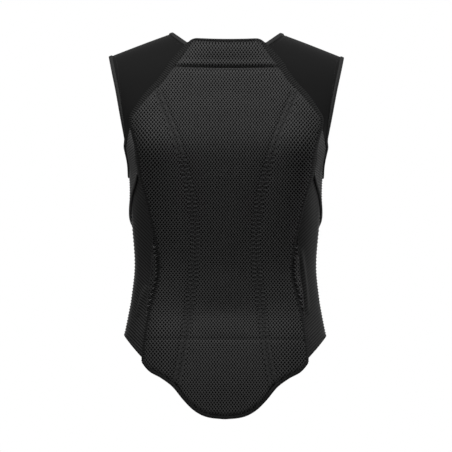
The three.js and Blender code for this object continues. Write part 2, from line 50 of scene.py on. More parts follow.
# The body that the vest is shaped on: half width, and depth behind and before the shoulder line
BODY = table(
    "z half_width back front",
    (40, 232, 98, 92), (-40, 226, 97.5, 99), (-90, 212, 99, 108), (-137, 190, 109.5, 115),
    (-180, 168, 118, 119), (-225, 153.5, 112.5, 120), (-300, 151.5, 97.5, 115), (-375, 146.3, 84, 107),
    (-430, 151.5, 79.5, 106), (-460, 156.8, 80.5, 108), (-492, 163, 88, 111), (-525, 167, 95.5, 114),
    (-560, 169, 102.5, 117), (-640, 173, 116, 120),
)
BACK = Sizes(sign=-1, depth="back", square=3.0, arch=115)
FRONT = Sizes(sign=1, depth="front", square=2.4, arch=150)
NECK_POINT = 92  # half the width of the neck on the shoulder line, which is at height 0 there
TIP = (186.5, -36)  # outer end of the shoulder line
RIDGE_HUMP = 60  # how broadly the shoulder line rounds over in the middle
# Soft swells of the back, the same on both sides: over a shoulder blade, over a hip, and below the waist
BULGES = table(
    "x z high across above below",
    (132, -188, 15, 42, 50, 85), (102, -508, 10, 42, 75, 140), (0, -520, 5, 65, 50, 140),
)
BULGE_FROM = 30  # they grow over this depth behind the shoulder line

# Sewn lines of the back
GAP = 0.4  # between neighbours
CREASE = -56.5  # under the neck pad
CROSS_SEAM = -498.8  # above the tail
BAND = 9  # mesh left between the two stitch rows of a seam
SEAM = table(
    "z x",
    (-90, 112.7), (-122, 100.4), (-155, 87.5), (-186.5, 75.5), (-226.5, 63.8), (-267.5, 54.6), (-310, 49.8),
    (-350, 48.4), (-391, 51.3), (-432, 57.2), (-491, 64.6), (-562, 77), (-580, 80),
)
SHOULDER_TAPE = table(
    "z inner outer",
    (-11, 50, 57), (-29, 62.8, 76), (-49.5, 78.4, 94.8), (-63, 89, 103.6), (-77.5, 100, 114.5),
    (-97.5, 118.7, 133), (-116.5, 135.3, 145.8), (-134, 147, 155), (-147, 147.6, 154.2), (-157, 144.2, 151),
)
SIDE_TAPE = table(
    "z inner outer",
    (-155.5, 144.6, 151.4), (-175, 138.4, 146.2), (-186, 136.1, 144), (-202, 133.3, 142.5),
    (-218.5, 131.3, 140.3), (-235, 128.5, 136.8), (-268, 120.9, 127.6), (-300.5, 114.3, 120.2),
    (-333, 107.4, 112.8), (-365.5, 102.6, 108), (-382.5, 102, 107.4), (-399, 103.7, 109.1),
    (-432, 111.3, 117.3), (-466, 118.9, 125.2), (-499, 123.4, 130.2), (-524, 125.9, 132.9),
)
TAIL_EDGE = table(
    "x z",
    (0, -619.5), (28, -616), (46.6, -606.5), (63.4, -590), (80.6, -569), (100, -553.8), (116.5, -544),
    (127, -531), (132, -520),
)
TAIL_CORNER = (125, -533)
NECK_TOP = Sizes(middle=-13.5, corner=-12, half=59, round=14, drop=6)

# Edges of the cloth panels
ARM_BACK = table("z x", (-36, 186.5), (-60, 181.5), (-90, 175), (-137, 166.5), (-165, 161.5), (-200, 156.5))
ARM_LOW = table("angle z", (72, -200), (80, -221), (90, -232), (102, -225), (111.3, -205))
ARM_FRONT = table(
    "z x", (-205, 150), (-180, 150.5), (-150, 153), (-115, 160), (-80, 172), (-54, 182), (-36, 186.5)
)
NECK_BACK = table("t x z", (0, 66.5, -18), (0.5, 80, -8.5), (1, 92, 0))
NECK_FRONT = table(
    "t x z", (0, 92, 0), (0.16, 88, -14), (0.4, 76, -37), (0.65, 54, -62), (0.85, 29, -78), (1, 8, -84)
)
YOKE = Sizes(t=0.16, arm=-54)  # ends of the seam just in front of the shoulder line
FRONT_SEAM = table("z x", (-490, 112), (-375, 100), (-300, 110), (-240, 130), (-205, 149.5))
UNDERARM_HEM = table(
    "angle z", (60, -221), (67, -240), (75, -257), (83, -275), (90, -293), (110, -316), (128, -322)
)
UNDERARM_LAP = 30  # how far the side panel runs up behind the underarm panel
HEM = Sizes(back=-527, side=-489, front=-488)
PANEL, KNIT = 2.0, 2.4  # thickness of the smooth cloth and of the knits
CLEAR = 0.2  # between the body and the cloth
TURN_IN = 2.0  # how far a panel runs on beneath a tape
LAP_GAP = 1.1  # between the underarm panel and what it lies over
# The waist gussets: ends, breadth beside the side tape, heights off the body, and depth of the holes
GUSSET = Sizes(top=-322, bottom=-462, least=1.5, width=9.5, lap=1.5, high=9.6, low=5.8, sewn=4.2, deep=0.4)


def read(rows, column, at, by="z"):
    """A table column at some places, as a smooth curve through its rows."""
    key, value = rows[by], rows[column]
    if key[0] > key[-1]:
        key, value = key[::-1], value[::-1]
    slope = np.empty_like(value)
    slope[1:-1] = (value[2:] - value[:-2]) / (key[2:] - key[:-2])
    slope[[0, -1]] = np.diff(value)[[0, -1]] / np.diff(key)[[0, -1]]
    at = np.clip(at, key[0], key[-1])
    i = np.clip(np.searchsorted(key, at) - 1, 0, len(key) - 2)
    span = key[i + 1] - key[i]
    t = (at - key[i]) / span
    rise, start, end = value[i + 1] - value[i], slope[i] * span, slope[i + 1] * span
    return value[i] + t * (start + t * (3 * rise - 2 * start - end + t * (start + end - 2 * rise)))


def edge_at(rows, t):
    """The places x and z at shares along an edge."""
    return [read(rows, axis, t, "t") for axis in "xz"]


def lerp(a, b, t):
    return a + (b - a) * t


def smoothstep(t):
    t = np.clip(t, 0, 1)
    return t * t * (3 - 2 * t)


def ridge(x):
    """Height of the shoulder line, carried on across the neck as a round hump."""
    fall = -TIP[1] / (math.hypot(TIP[0], RIDGE_HUMP) - math.hypot(NECK_POINT, RIDGE_HUMP))
    return fall * (math.hypot(NECK_POINT, RIDGE_HUMP) - np.hypot(x, RIDGE_HUMP))


def bulge(x, z):
    """How far the soft swells stand out."""
    total = np.zeros(np.shape(x))
    for middle, height, high, across, above, below in zip(*BULGES.values()):
        up = (z - height) / np.where(z > height, above, below)
        total = total + high * np.exp(-(((np.abs(x) - middle) / across) ** 2) - up**2)
    return total


def depth(x, z, side):
    """How far behind or before the shoulder line the body lies."""
    full = read(BODY, side.depth, z)
    across = np.abs(x / read(BODY, "half_width", z)) ** side.square
    drop = np.clip((ridge(x) - z) / side.arch, 0, 1)
    plain = full * np.maximum(0, 1 - across) ** (1 / side.square) * np.sqrt(1 - (1 - drop) ** 2)
    return plain + bulge(x, z) * np.minimum(1, plain / BULGE_FROM) if side is BACK else plain


def body_field(p):
    """Zero on the body and falling outwards. Near the shoulder line a second form stays well shaped."""
    x, y, z = p.T
    behind = y < 0
    square = np.where(behind, BACK.square, FRONT.square)
    full = np.where(behind, read(BODY, "back", z), read(BODY, "front", z))
    drop = np.minimum(1, (ridge(x) - z) / np.where(behind, BACK.arch, FRONT.arch))
    share = 1 - (1 - drop) ** 2
    across = np.abs(x / read(BODY, "half_width", z)) ** square
    deep = np.abs(y + np.where(y < -BULGE_FROM, bulge(x, z), 0)) / full
    low = 1 - across - (deep / np.sqrt(np.maximum(share, 0.1))) ** square
    high = np.maximum(0, 1 - across) ** (2 / square) * share - deep**2
    return np.where(share > 0.6, low, high)


def outward(p):
    normal = np.zeros_like(p)
    for axis, reach in enumerate(0.2 * np.eye(3)):
        normal[:, axis] = body_field(p - reach) - body_field(p + reach)
    return normal / np.linalg.norm(normal, axis=1, keepdims=True)


def raised(p, height):
    """Points of the body lifted off it."""
    return p + outward(p) * np.broadcast_to(height, len(p))[:, None]


def set_back(p, by):
    """Points moved straight back."""
    return p - np.outer(np.broadcast_to(by, len(p)), (0, 1, 0))


def on_body(x, z, behind):
    x, z = np.broadcast_arrays(np.asarray(x, float), np.asarray(z, float))
    y = np.where(behind, -depth(x, z, BACK), depth(x, z, FRONT))
    return np.stack([x, y, z], axis=1)


def on_back(x, z):
    return on_body(x, z, True)


def on_front(x, z):
    return on_body(x, z, False)


def around(angle, z):
    """The body by angle round the right side: 0 at the middle of the back, 180 at the zip."""
    angle, z = np.broadcast_arrays(np.asarray(angle, float), np.asarray(z, float))
    behind = angle < 90
    turn = np.radians(np.where(behind, angle, 180 - angle))
    square = np.where(behind, BACK.square, FRONT.square)
    return on_body(read(BODY, "half_width", z) * np.sin(turn) ** (2 / square), z, behind)


def angle_of(x, z, side):
    turn = np.degrees(np.arcsin(np.minimum(1, x / read(BODY, "half_width", z)) ** (side.square / 2)))
    return turn if side is BACK else 180 - turn


def over_shoulder(x, bend):
    """The upper body by the angle of its arch: 0 on the shoulder line, above it behind, below it before."""
    arch = np.where(bend > 0, BACK.arch, FRONT.arch)
    low = np.minimum(np.abs(bend), math.pi / 2)
    z = ridge(x) - arch * (1 - np.cos(low) + np.maximum(0, np.abs(bend) - math.pi / 2))
    return on_body(x, z, bend > 0)


def bend_of(x, z, side):
    drop = np.maximum(0, (ridge(x) - z) / side.arch)
    bend = np.where(drop < 1, np.arccos(np.clip(1 - drop, -1, 1)), math.pi / 2 + drop - 1)
    return -side.sign * bend


# Edges that several pieces share
def seam_at(z):
    return read(SEAM, "x", z)


def slant_inner(z):
    return read(SHOULDER_TAPE, "inner", z) - GAP


def wing_outer(z):
    beside = read(SIDE_TAPE, "inner", z) - GAP
    return np.where(z > SIDE_TAPE["z"][0], slant_inner(z), np.minimum(slant_inner(z), beside))


def beside_side(z):
    return read(SIDE_TAPE, "outer", z) + GAP


def tail_edge(x):
    return read(TAIL_EDGE, "z", np.abs(x), "x")


def neck_top(x):
    dip = NECK_TOP.middle - NECK_TOP.corner
    corner = NECK_TOP.drop * np.clip((np.abs(x) - NECK_TOP.half) / NECK_TOP.round + 1, 0, 1) ** 2.5
    return NECK_TOP.corner + dip * np.maximum(0, 1 - (x / NECK_TOP.half) ** 2) - corner


def rear_angle(z):
    return angle_of(beside_side(z), z, BACK)


def front_angle(z):
    return angle_of(read(FRONT_SEAM, "x", z), z, FRONT)


def underarm_hem(t):
    first, last = UNDERARM_HEM["z"][0], UNDERARM_HEM["z"][-1]
    angle = lerp(rear_angle(first), front_angle(last), t)
    return angle, read(UNDERARM_HEM, "z", angle, "angle")


# Materials
def linear(hex_colour):
    """An sRGB hex colour as the linear RGBA that sockets take."""
    parts = [int(hex_colour[i : i + 2], 16) / 255 for i in (1, 3, 5)]
    return [c / 12.92 if c <= 0.04045 else ((c + 0.055) / 1.055) ** 2.4 for c in parts] + [1]


def add(tree, kind, inputs, **settings):
    """Adds a node with its settings, and sets or links its inputs."""
    made = tree.nodes.new(kind)
    for name, value in settings.items():
        setattr(made, name, value)
    for socket, value in inputs.items():
        if isinstance(value, bpy.types.NodeSocket):
            tree.links.new(value, made.inputs[socket])
        else:
            made.inputs[socket].default_value = value
    return made


def new_material(name, roughness, specular, sheen=0.0):
    material = bpy.data.materials.new(name)
    material.use_nodes = True
    shader = material.node_tree.nodes["Principled BSDF"]
    shader.inputs["Roughness"].default_value = roughness
    shader.inputs["Specular IOR Level"].default_value = specular
    shader.inputs["Sheen Weight"].default_value = sheen
    return material, material.node_tree, shader


def fabric(name, low, high, grain_mm, relief_mm, ribbed=False, **finish):
    """A cloth with a fine relief. Its two colours follow its grain, or, if it's ribbed, how far up a rib
    each point is: painted shade in the grooves and painted highlight on the crests.
    """
    material, tree, shader = new_material(name, **finish)
    place = add(tree, "ShaderNodeTexCoord", {})
    grain = {"Scale": 1 / (grain_mm * MM), "Detail": 3.0, "Roughness": 0.6}
    noise = add(tree, "ShaderNodeTexNoise", {"Vector": place.outputs["Object"]} | grain)
    # Ribbed cloths are coloured by rib height: darker in the grooves as painted shade, lighter on the crests
    # as painted highlight
    share = add(tree, "ShaderNodeAttribute", {}, attribute_name="crest") if ribbed else noise
    colour = add(tree, "ShaderNodeMix", {"Factor": share.outputs["Fac"]}, data_type="RGBA")
    colour.inputs["A"].default_value = linear(low)
    colour.inputs["B"].default_value = linear(high)
    height = {"Height": noise.outputs["Fac"], "Distance": relief_mm * MM, "Strength": 1.0}
    relief = add(tree, "ShaderNodeBump", height)
    tree.links.new(colour.outputs["Result"], shader.inputs["Base Color"])
    tree.links.new(relief.outputs["Normal"], shader.inputs["Normal"])
    return material


# Textured polyester yarn of the open mesh: matt, with a soft gleam along the threads
MESH_YARN = fabric("polyester_mesh_yarn", "#242424", "#343434", 0.7, 0.15, roughness=0.6, specular=0.1)
# The same yarn where sewing draws the mesh together and the holes shut, beside the tapes and seams and at
# the tail edge: coloured darker, with a flatter finish
DRAWN_YARN = fabric("drawn_mesh_yarn", "#1d1d1d", "#2a2a2a", 0.7, 0.15, roughness=0.7, specular=0.06)
# The waist gussets' yarn: lighter, with a real gloss and painted glints, a speckle from dark to light in its
# colour
GUSSET_YARN = fabric("glossy_mesh_yarn_painted_glints", "#141414", "#2e2e2e", 0.7, 0.15, roughness=0.4, specular=0.25)
# Spacer knit under the mesh and the lining inside; near-black, so that at the floor of each hole it also
# stands as painted shade
SPACER_AND_HOLE_SHADE = fabric("spacer_knit_and_painted_hole_shade", "#0b0b0b", "#121212", 1.2, 0.2, roughness=0.9, specular=0.03)
# Woven elastic tape: dull and dark, with its cross ribs modelled; darker in the grooves and lighter on the
# crests, painted shade and highlight
ELASTIC = fabric(
    "ribbed_elastic_tape", "#080808", "#191919", 0.5, 0.1, ribbed=True, roughness=0.6, specular=0.05
)
# Overlocked jersey binding of the neck and arms: lighter than the cloth it edges, notched by its thread;
# darker in the notches and lighter on the ribs between, painted shade and highlight
JERSEY = fabric(
    "overlocked_jersey_binding", "#121212", "#242424", 0.5, 0.1, ribbed=True, roughness=0.7, specular=0.06
)
# Folded stretch binding of the tail: the darkest cloth, smooth and close
BINDING = fabric("folded_stretch_binding", "#101010", "#191919", 0.5, 0.08, roughness=0.6, specular=0.05)
# Brushed stretch shell: velvety, lighter where it turns away
SHELL = fabric(
    "brushed_stretch_shell", "#070707", "#0c0c0c", 0.6, 0.1, roughness=0.75, specular=0.04, sheen=0.03
)
# Ribbed stretch knit of the sides: a slight real gleam, and a painted highlight on each rib's crest with
# painted shade in the grooves
RIB_KNIT = fabric(
    "ribbed_stretch_knit", "#060606", "#252525", 0.6, 0.1, ribbed=True, roughness=0.6, specular=0.08
)
# The same knit, brushed and lighter, of the underarm panel, with the same painted shade in the grooves and
# painted highlight on the crests
UNDERARM_KNIT = fabric(
    "brushed_rib_knit", "#282828", "#4c4c4c", 0.6, 0.1, ribbed=True, roughness=0.7, specular=0.06
)
# Doubled yarn of the seams, a little lighter than the mesh
SEAM_YARN = fabric("doubled_seam_yarn", "#202020", "#2e2e2e", 0.5, 0.1, roughness=0.6, specular=0.12)
# Bonded polyester sewing thread
THREAD = fabric("polyester_thread", "#0a0a0a", "#141414", 0.4, 0.05, roughness=0.5, specular=0.2)
# Moulded polyester zip coil
ZIP_COIL = fabric("moulded_zip_coil", "#0b0b0b", "#121212", 0.8, 0.03, roughness=0.35, specular=0.5)


# Mesh building
def mesh_of(name, bm):
    mesh = bpy.data.meshes.new(name)
    bm.to_mesh(mesh)
    bm.free()
    return mesh


def placed(name, data):
    """An object of the scene, at the origin."""
    made = bpy.data.objects.new(name, data)
    bpy.context.scene.collection.objects.link(made)
    return made


def move(bm, places):
    for vert, place in zip(bm.verts, places * MM):
        vert.co = place
    bm.normal_update()


def flat_of(bm):
    return np.array([v.co for v in bm.verts])


def grid(columns, rows, size=1):
    """A flat square of faces round the origin."""
    bm = bmesh.new()
    bmesh.ops.create_grid(bm, x_segments=columns, y_segments=rows, size=size / 2)
    return bm


def paint(faces, index):
    for face in faces:
        face.material_index = index


def flat_block(columns, rows):
    """A closed flat box of one layer of faces, from 0 to 1 each way."""
    bm = grid(columns, rows)
    bmesh.ops.translate(bm, vec=(0.5, 0.5, 0), verts=bm.verts)
    top = bmesh.ops.extrude_face_region(bm, geom=bm.faces[:])["geom"]
    bmesh.ops.translate(bm, vec=(0, 0, 1), verts=[g for g in top if isinstance(g, bmesh.types.BMVert)])
    return bm


def mark_rib_shade(bm, crest):
    """Notes how far up a rib each point is, which ribbed cloths take their colour from: painted shade in the
    grooves, painted highlight on the crests.
    """
    layer = bm.verts.layers.float.new("crest")
    for vert, share in zip(bm.verts, crest):
        vert[layer] = share


def wall(columns, rows, place, low, high, crest=None, back=None):
    """A closed wall over the body. `place` gives the body's points, `low` and `high` the heights off it.

    `back` tells how far it stands straight back from there, by the shares across, up and through it.
    """
    bm = flat_block(columns, rows)
    u, v, w = flat_of(bm).T
    # The rib shares also colour ribbed cloths with painted shade in the grooves and painted highlight on the
    # crests
    if crest:
        mark_rib_shade(bm, crest(u, v))
    heights = [h(u, v) if callable(h) else np.full(len(u), float(h)) for h in (low, high)]
    points = raised(place(u, v), lerp(*heights, w))
    move(bm, set_back(points, back(u, v, w)) if back else points)
    bmesh.ops.recalc_face_normals(bm, faces=bm.faces)
    return bm


def rounded_section(width, height, start, low):
    """The outline of a folded binding: a rounded box, across from the path and up from the body."""
    turn = np.linspace(0, 2 * math.pi, 14, endpoint=False)
    box = lambda c: np.sign(c) * np.abs(c) ** 0.6
    across = start + width / 2 - box(np.cos(turn)) * width / 2
    up = low + height / 2 + box(np.sin(turn)) * height / 2
    return np.stack([across, up], axis=1)


def sweep(path, size, away, closed=False, rib=0.0, lift=0.0, back=0.0):
    """A folded strip beside a path on the body, with a section of the given size.

    With `rib`, the strip rises that much in a rib across it at every fourth point of the path.
    `lift` makes it that much higher and `back` stands it straight back, all along or point by point.
    """
    normal = outward(path)
    lift, back = (np.broadcast_to(a, len(path)) for a in (lift, back))
    ahead = np.roll(path, -1, 0) - np.roll(path, 1, 0) if closed else np.gradient(path, axis=0)
    across = np.cross(ahead, normal)
    across *= away / np.linalg.norm(across, axis=1, keepdims=True)
    if closed:
        path, normal, across, lift, back = (
            np.concatenate([a, a[:1]]) for a in (path, normal, across, lift, back)
        )
    section = rounded_section(*size)
    section = np.concatenate([section, section[:1]])
    bm = grid(len(section) - 1, len(path) - 1)
    flat = flat_of(bm)
    k = np.rint((flat[:, 0] + 0.5) * (len(section) - 1)).astype(int)
    i = np.rint((flat[:, 1] + 0.5) * (len(path) - 1)).astype(int)
    # Ribs at every fourth point; ribbed cloths take painted shade in the notches and painted highlight on
    # the ribs from this
    crest = 0.5 + 0.5 * np.cos(math.pi / 2 * i)
    mark_rib_shade(bm, crest)
    middle = section[:-1].mean(axis=0)
    swell = 1 + rib * crest / np.ptp(section[:, 1])
    place = middle + (section[k] - middle) * swell[:, None]
    place[:, 1] += lift[i] * (section[k, 1] - section[:, 1].min()) / np.ptp(section[:, 1])
    move(bm, set_back(path[i] + across[i] * place[:, :1] + normal[i] * place[:, 1:], back[i]))
    bmesh.ops.remove_doubles(bm, verts=bm.verts, dist=1e-6)
    if not closed:
        bmesh.ops.holes_fill(bm, edges=[e for e in bm.edges if e.is_boundary])
    bmesh.ops.recalc_face_normals(bm, faces=bm.faces)
    return bm


def evenly(path, spacing):
    """Points about `spacing` apart along a path."""
    run = np.concatenate([[0], np.cumsum(np.linalg.norm(np.diff(path, axis=0), axis=1))])
    at = np.linspace(0, run[-1], max(2, round(run[-1] / spacing) + 1))
    return np.stack([np.interp(at, run, path[:, k]) for k in range(3)], axis=1)


STITCH = Sizes(pitch=3.4, share=0.8, radius=0.4)


def stitch(bm, a, b, up, radius=STITCH.radius):
    """Adds one stitch from a to b: a small drawn-out ball."""
    along = Vector(b - a)
    length = along.length
    along.normalize()
    side = Vector(up).cross(along).normalized()
    turn = Matrix((along, side, along.cross(side))).transposed().to_4x4()
    size = Matrix.Diagonal((length / 2 * MM, radius * MM, radius * MM, 1))
    place = Matrix.Translation(Vector((a + b) / 2) * MM) @ turn @ size
    bmesh.ops.create_icosphere(bm, subdivisions=1, radius=1, matrix=place)


def stitches(bm, path):
    """Adds a row of stitches along a path."""
    points = evenly(path, STITCH.pitch)
    for a, b, up in zip(points[:-1], points[1:], outward(points)):
        stitch(bm, lerp(b, a, STITCH.share), lerp(a, b, STITCH.share), up)


def mirrored(bm):
    bmesh.ops.scale(bm, vec=(-1, 1, 1), verts=bm.verts)
    bmesh.ops.reverse_faces(bm, faces=bm.faces)
    return bm


SIDES = (("right", lambda bm: bm), ("left", mirrored))


def finished(name, bm, materials, nodes=(), sharp=50):
    """Makes a piece of the part from a bmesh: smooth but for its sharp folds, riding with the body."""
    mesh = mesh_of(name, bm)
    for material in materials:
        mesh.materials.append(material)
    mesh.shade_smooth()
    mesh.set_sharp_from_angle(angle=math.radians(sharp))
    piece = placed(name, mesh)
    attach(piece, "root")
    if nodes:
        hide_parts(*nodes)
    return piece


def sided(node, finish, side, bm, materials, sharp=50):
    """Makes the piece that stands for the node of one side."""
    return finished(f"{node}_{finish}_{side}", bm, materials, [f"{node}_{side}"], sharp)


# Padded back
NET = Sizes(width=4.89, height=6.52, thread=0.8, tight=1.5, dip=0.12, wall=0.2, deep=1.1)
COVER = Sizes(edge=7.5, crown=12.0, neck=8.0, lip=3.0)  # heights of the mesh off the body
# How far in from its edges the mesh rounds off, and how broad the lip over the crease is
ROUND = Sizes(side=18, tail=4, crease=9, flap_side=12, flap_top=4, flap_foot=4, lip=5)
# How deep sewing draws the mesh down, and how broadly: at a stitch row, along a seam, and at the cross seam
DIP = Sizes(stitch=(1.5, 1.5), seam=(1.0, 7), cross=(1.0, 1.6))
PULL = Sizes(reach=2.2, across=0.7, up=1.3)  # how a stitch row draws the lattice to itself
FLAP = Sizes(tall=42, middle=20, side=9, round=25)  # the nape's flap, and how far off it stands
SEAM_TOP = -90  # where the seams run out under the shoulder tape
SHUT = Sizes(tape=7.0, seam=7.0, tail=4.5)  # how near tape, seam and tail edge the holes are drawn shut
UNDER_TAPE = 3.5  # how far the mesh runs on beneath the tapes
TAIL_LAP = 6  # and into the binding of the tail
PAD_FOOT, TAPE_FOOT = 0.3, 0.4  # how far off the body the pads and the tapes begin
FAR = 400  # beyond every edge


def cover_half(z):
    return wing_outer(z) + UNDER_TAPE


def lean(edge, z):
    """Turns a distance measured across into one square to a slanting edge."""
    return 1 / np.hypot(1, (edge(z + 1) - edge(z - 1)) / 2)


def from_side(edge, x, z):
    """How far inside an edge a place is."""
    return (edge(z) - np.abs(x)) * lean(edge, z)


def rounded(distance, reach):
    """A quarter round: 0 at an edge, 1 from `reach` inwards."""
    return np.sqrt(1 - (1 - np.clip(distance / reach, 0, 1)) ** 2)


def hump(distance, high, broad):
    return high * np.exp(-((distance / broad) ** 2))


def stitch_distance(x, z):
    """How far the two stitch rows of the nearer seam are, and how much of the seam is there."""
    row = np.abs(np.abs(np.abs(x) - seam_at(z)) - BAND / 2) * lean(seam_at, z)
    return row, smoothstep((SEAM_TOP - z) / 10)


def flap_share(z):
    """How far up the nape's flap a height is."""
    return np.clip((z - CREASE) / FLAP.tall, 0, 1)


def stand_off(x, z):
    """How far the nape's flap stands straight back from the body, and nothing below the crease."""
    inwards = rounded(from_side(wing_outer, x, z), FLAP.round)
    return lerp(FLAP.side, FLAP.middle, inwards) * flap_share(z)


def on_cover(x, z, height):
    """Places of the back at a height off the body."""
    return set_back(raised(on_back(x, z), height), stand_off(x, z))


def back_height(x, z):
    """Height of the mesh below the crease: full, and drawn down at its edges, seams and the cross seam."""
    full = rounded(from_side(cover_half, x, z), ROUND.side)
    full = full * rounded((z - tail_edge(x) + 1) * 0.85, ROUND.tail) * rounded(CREASE - z, ROUND.crease)
    row, there = stitch_distance(x, z)
    drawn = there * (hump(row, *DIP.stitch) + hump(row, *DIP.seam))
    return lerp(COVER.edge, COVER.crown, full) - drawn - hump(z - CROSS_SEAM, *DIP.cross)


def neck_height(x, z):
    """Height of the flap at the nape, whose lower edge stands out as a lip over the crease."""
    full = rounded(from_side(cover_half, x, z), ROUND.flap_side)
    full = full * lerp(0.85, 1, rounded(neck_top(x) - z, ROUND.flap_top))
    lip = hump(z - CREASE - ROUND.lip, COVER.lip, ROUND.lip)
    return lerp(COVER.edge, COVER.neck + lip, full * rounded(z - CREASE, ROUND.flap_foot))


class Cover:
    """A stretch of mesh with one outline: the tapes at its sides, and an edge above and below."""

    def __init__(self, bottom, top, height):
        self.bottom, self.top, self.height = bottom, top, height

    def inside(self, x, z):
        return (np.abs(x) < cover_half(z)) & (z > self.bottom(x)) & (z < self.top(x))

    def pulled(self, x, z):
        """Lattice points drawn to the outline where they stand at it, and to the stitch rows."""
        a, b = NET.width / 2, NET.height / 2
        corners = ((x + a, z), (x - a, z), (x, z + b), (x, z - b))
        rim = ~np.all([self.inside(*corner) for corner in corners], axis=0)
        half = cover_half(z)
        gaps = np.abs([from_side(cover_half, x, z), z - self.bottom(x), self.top(x) - z])
        nearest = np.where(rim, np.argmin(gaps, axis=0), -1)
        row, there = stitch_distance(x, z)
        pull = np.where(rim | (z > CREASE), 0, there * np.exp(-((row / PULL.reach) ** 2)))
        at = np.abs(x) - seam_at(z)
        x = x + np.sign(x) * PULL.across * pull * (np.sign(at) * BAND / 2 - at)
        z = z + PULL.up * pull
        x = np.where(nearest == 0, np.sign(x) * half, x)
        z = np.select([nearest == 1, nearest == 2], [self.bottom(x), self.top(x)], z)
        return x, np.clip(z, self.bottom(x), self.top(x))


def level(z):
    return lambda x: np.full(np.shape(x), float(z))


def between(values, across, up):
    """An array of values read at shares across and up it."""
    rows, columns = np.array(values.shape) - 1
    i = np.minimum((across * columns).astype(int), columns - 1)
    j = np.minimum((up * rows).astype(int), rows - 1)
    s, t = across * columns - i, up * rows - j
    low, high = (lerp(values[row, i], values[row, i + 1], s) for row in (j, j + 1))
    return lerp(low, high, t)


class Pad:
    """A field of the back between four edges: two functions of height, and two of the distance across."""

    def __init__(self, cover, left, right, bottom, top):
        self.cover, self.left, self.right, self.bottom, self.top = cover, left, right, bottom, top
        self.swell = np.zeros((2, 2))

    def spread(self, u, v):
        """The places (x, z) at shares across and up the pad, just clear of the next one."""
        z = np.full(len(u), -300.0)  # a first guess, which the rounds below settle
        x = lerp(self.left(z), self.right(z), u)
        for _ in range(12):
            z = lerp(self.bottom(x) + GAP, self.top(x) - GAP, v)
            x = lerp(self.left(z) + GAP, self.right(z) - GAP, u)
        return x, z

    def inside(self, x, z):
        return (x > self.left(z)) & (x < self.right(z)) & (z > self.bottom(x)) & (z < self.top(x))

    def height(self, x, z):
        """Height of the mesh over the pad, with the swell of its cover."""
        across = (x - self.left(z)) / np.maximum(1, self.right(z) - self.left(z))
        up = (z - self.bottom(x)) / (self.top(x) - self.bottom(x))
        return self.cover.height(x, z) + between(self.swell, np.clip(across, 0, 1), np.clip(up, 0, 1))


def shares(count):
    """Even shares across and up, at all points of a grid."""
    share = np.linspace(0, 1, count)
    return [a.ravel() for a in np.meshgrid(share, share)]


def lattice(x, z):
    """A flat lattice of diamonds that takes in the given places, the same lattice wherever they are."""
    across, up = np.ptp(x) / NET.width, np.ptp(z) / NET.height
    count = 2 * math.ceil((across + up) / 2 + 2)
    along, high = np.mean(x) / NET.width, np.mean(z) / NET.height
    bm = grid(count, count, count)
    bmesh.ops.translate(bm, vec=(round(high + along), round(high - along), 0), verts=bm.verts)
    half_x, half_z = NET.width / 2, NET.height / 2
    shear = Matrix(((half_x, -half_x, 0, 0), (half_z, half_z, 0, 0), (0, 0, 1, 0), (0, 0, 0, 1)))
    bmesh.ops.transform(bm, matrix=shear, verts=bm.verts)
    return bm


def trimmed(bm, inside):
    middles = np.array([f.calc_center_median() for f in bm.faces])
    kept = inside(middles[:, 0], middles[:, 1])
    bmesh.ops.delete(bm, geom=[f for f, k in zip(bm.faces[:], kept) if not k], context="FACES")


def opened(bm, drawn, deep=NET.deep):
    """Insets every diamond to a rounded thread and then to a hole whose dark floor is painted shade, small
    where it's drawn shut.
    """
    faces = bm.faces[:]
    for thread, yarn, holes in (
        (NET.thread, 0, [f for f, shut in zip(faces, drawn) if not shut]),
        (NET.tight, 2, [f for f, shut in zip(faces, drawn) if shut]),
    ):
        threads = bmesh.ops.inset_individual(bm, faces=holes, thickness=thread * MM, depth=-NET.dip * MM)
        paint(threads["faces"], yarn)
        sides = bmesh.ops.inset_individual(bm, faces=holes, thickness=NET.wall * MM, depth=-deep * MM)
        # The hole walls and floors take the near-black backing: painted shade in the holes
        paint(holes + sides["faces"], 1)
    return bm


def net_over(pad):
    """The open mesh over a pad, cut along the lattice so that neighbours meet thread to thread."""
    bm = lattice(*pad.spread(*shares(30)))
    trimmed(bm, lambda x, z: pad.inside(x, z) & pad.cover.inside(x, z))
    x, z, _ = np.array([f.calc_center_median() for f in bm.faces]).T
    _, there = stitch_distance(x, z)
    drawn = (from_side(cover_half, x, z) < SHUT.tape) & (z > SIDE_TAPE["z"][0])
    drawn |= (there > 0.5) & (np.abs(np.abs(x) - seam_at(z)) < SHUT.seam) & (z < CREASE)
    drawn |= z - tail_edge(x) < SHUT.tail
    x, z = pad.cover.pulled(*flat_of(bm)[:, :2].T)
    move(bm, on_cover(x, z, pad.height(x, z)))
    return opened(bm, drawn)


def pad_body(pad, columns, rows):
    """The closed pad under its mesh."""
    place = lambda u, v: on_back(*pad.spread(u, v))
    top = lambda u, v: pad.height(*pad.spread(u, v)) - (NET.dip + NET.deep + GAP)
    bm = wall(columns, rows, place, PAD_FOOT, top, back=lambda u, v, w: stand_off(*pad.spread(u, v)))
    paint(bm.faces, 1)
    return bm


SWELL = Sizes(pressure=4.0, damping=10, frames=20, most=4.0, smooth=12)


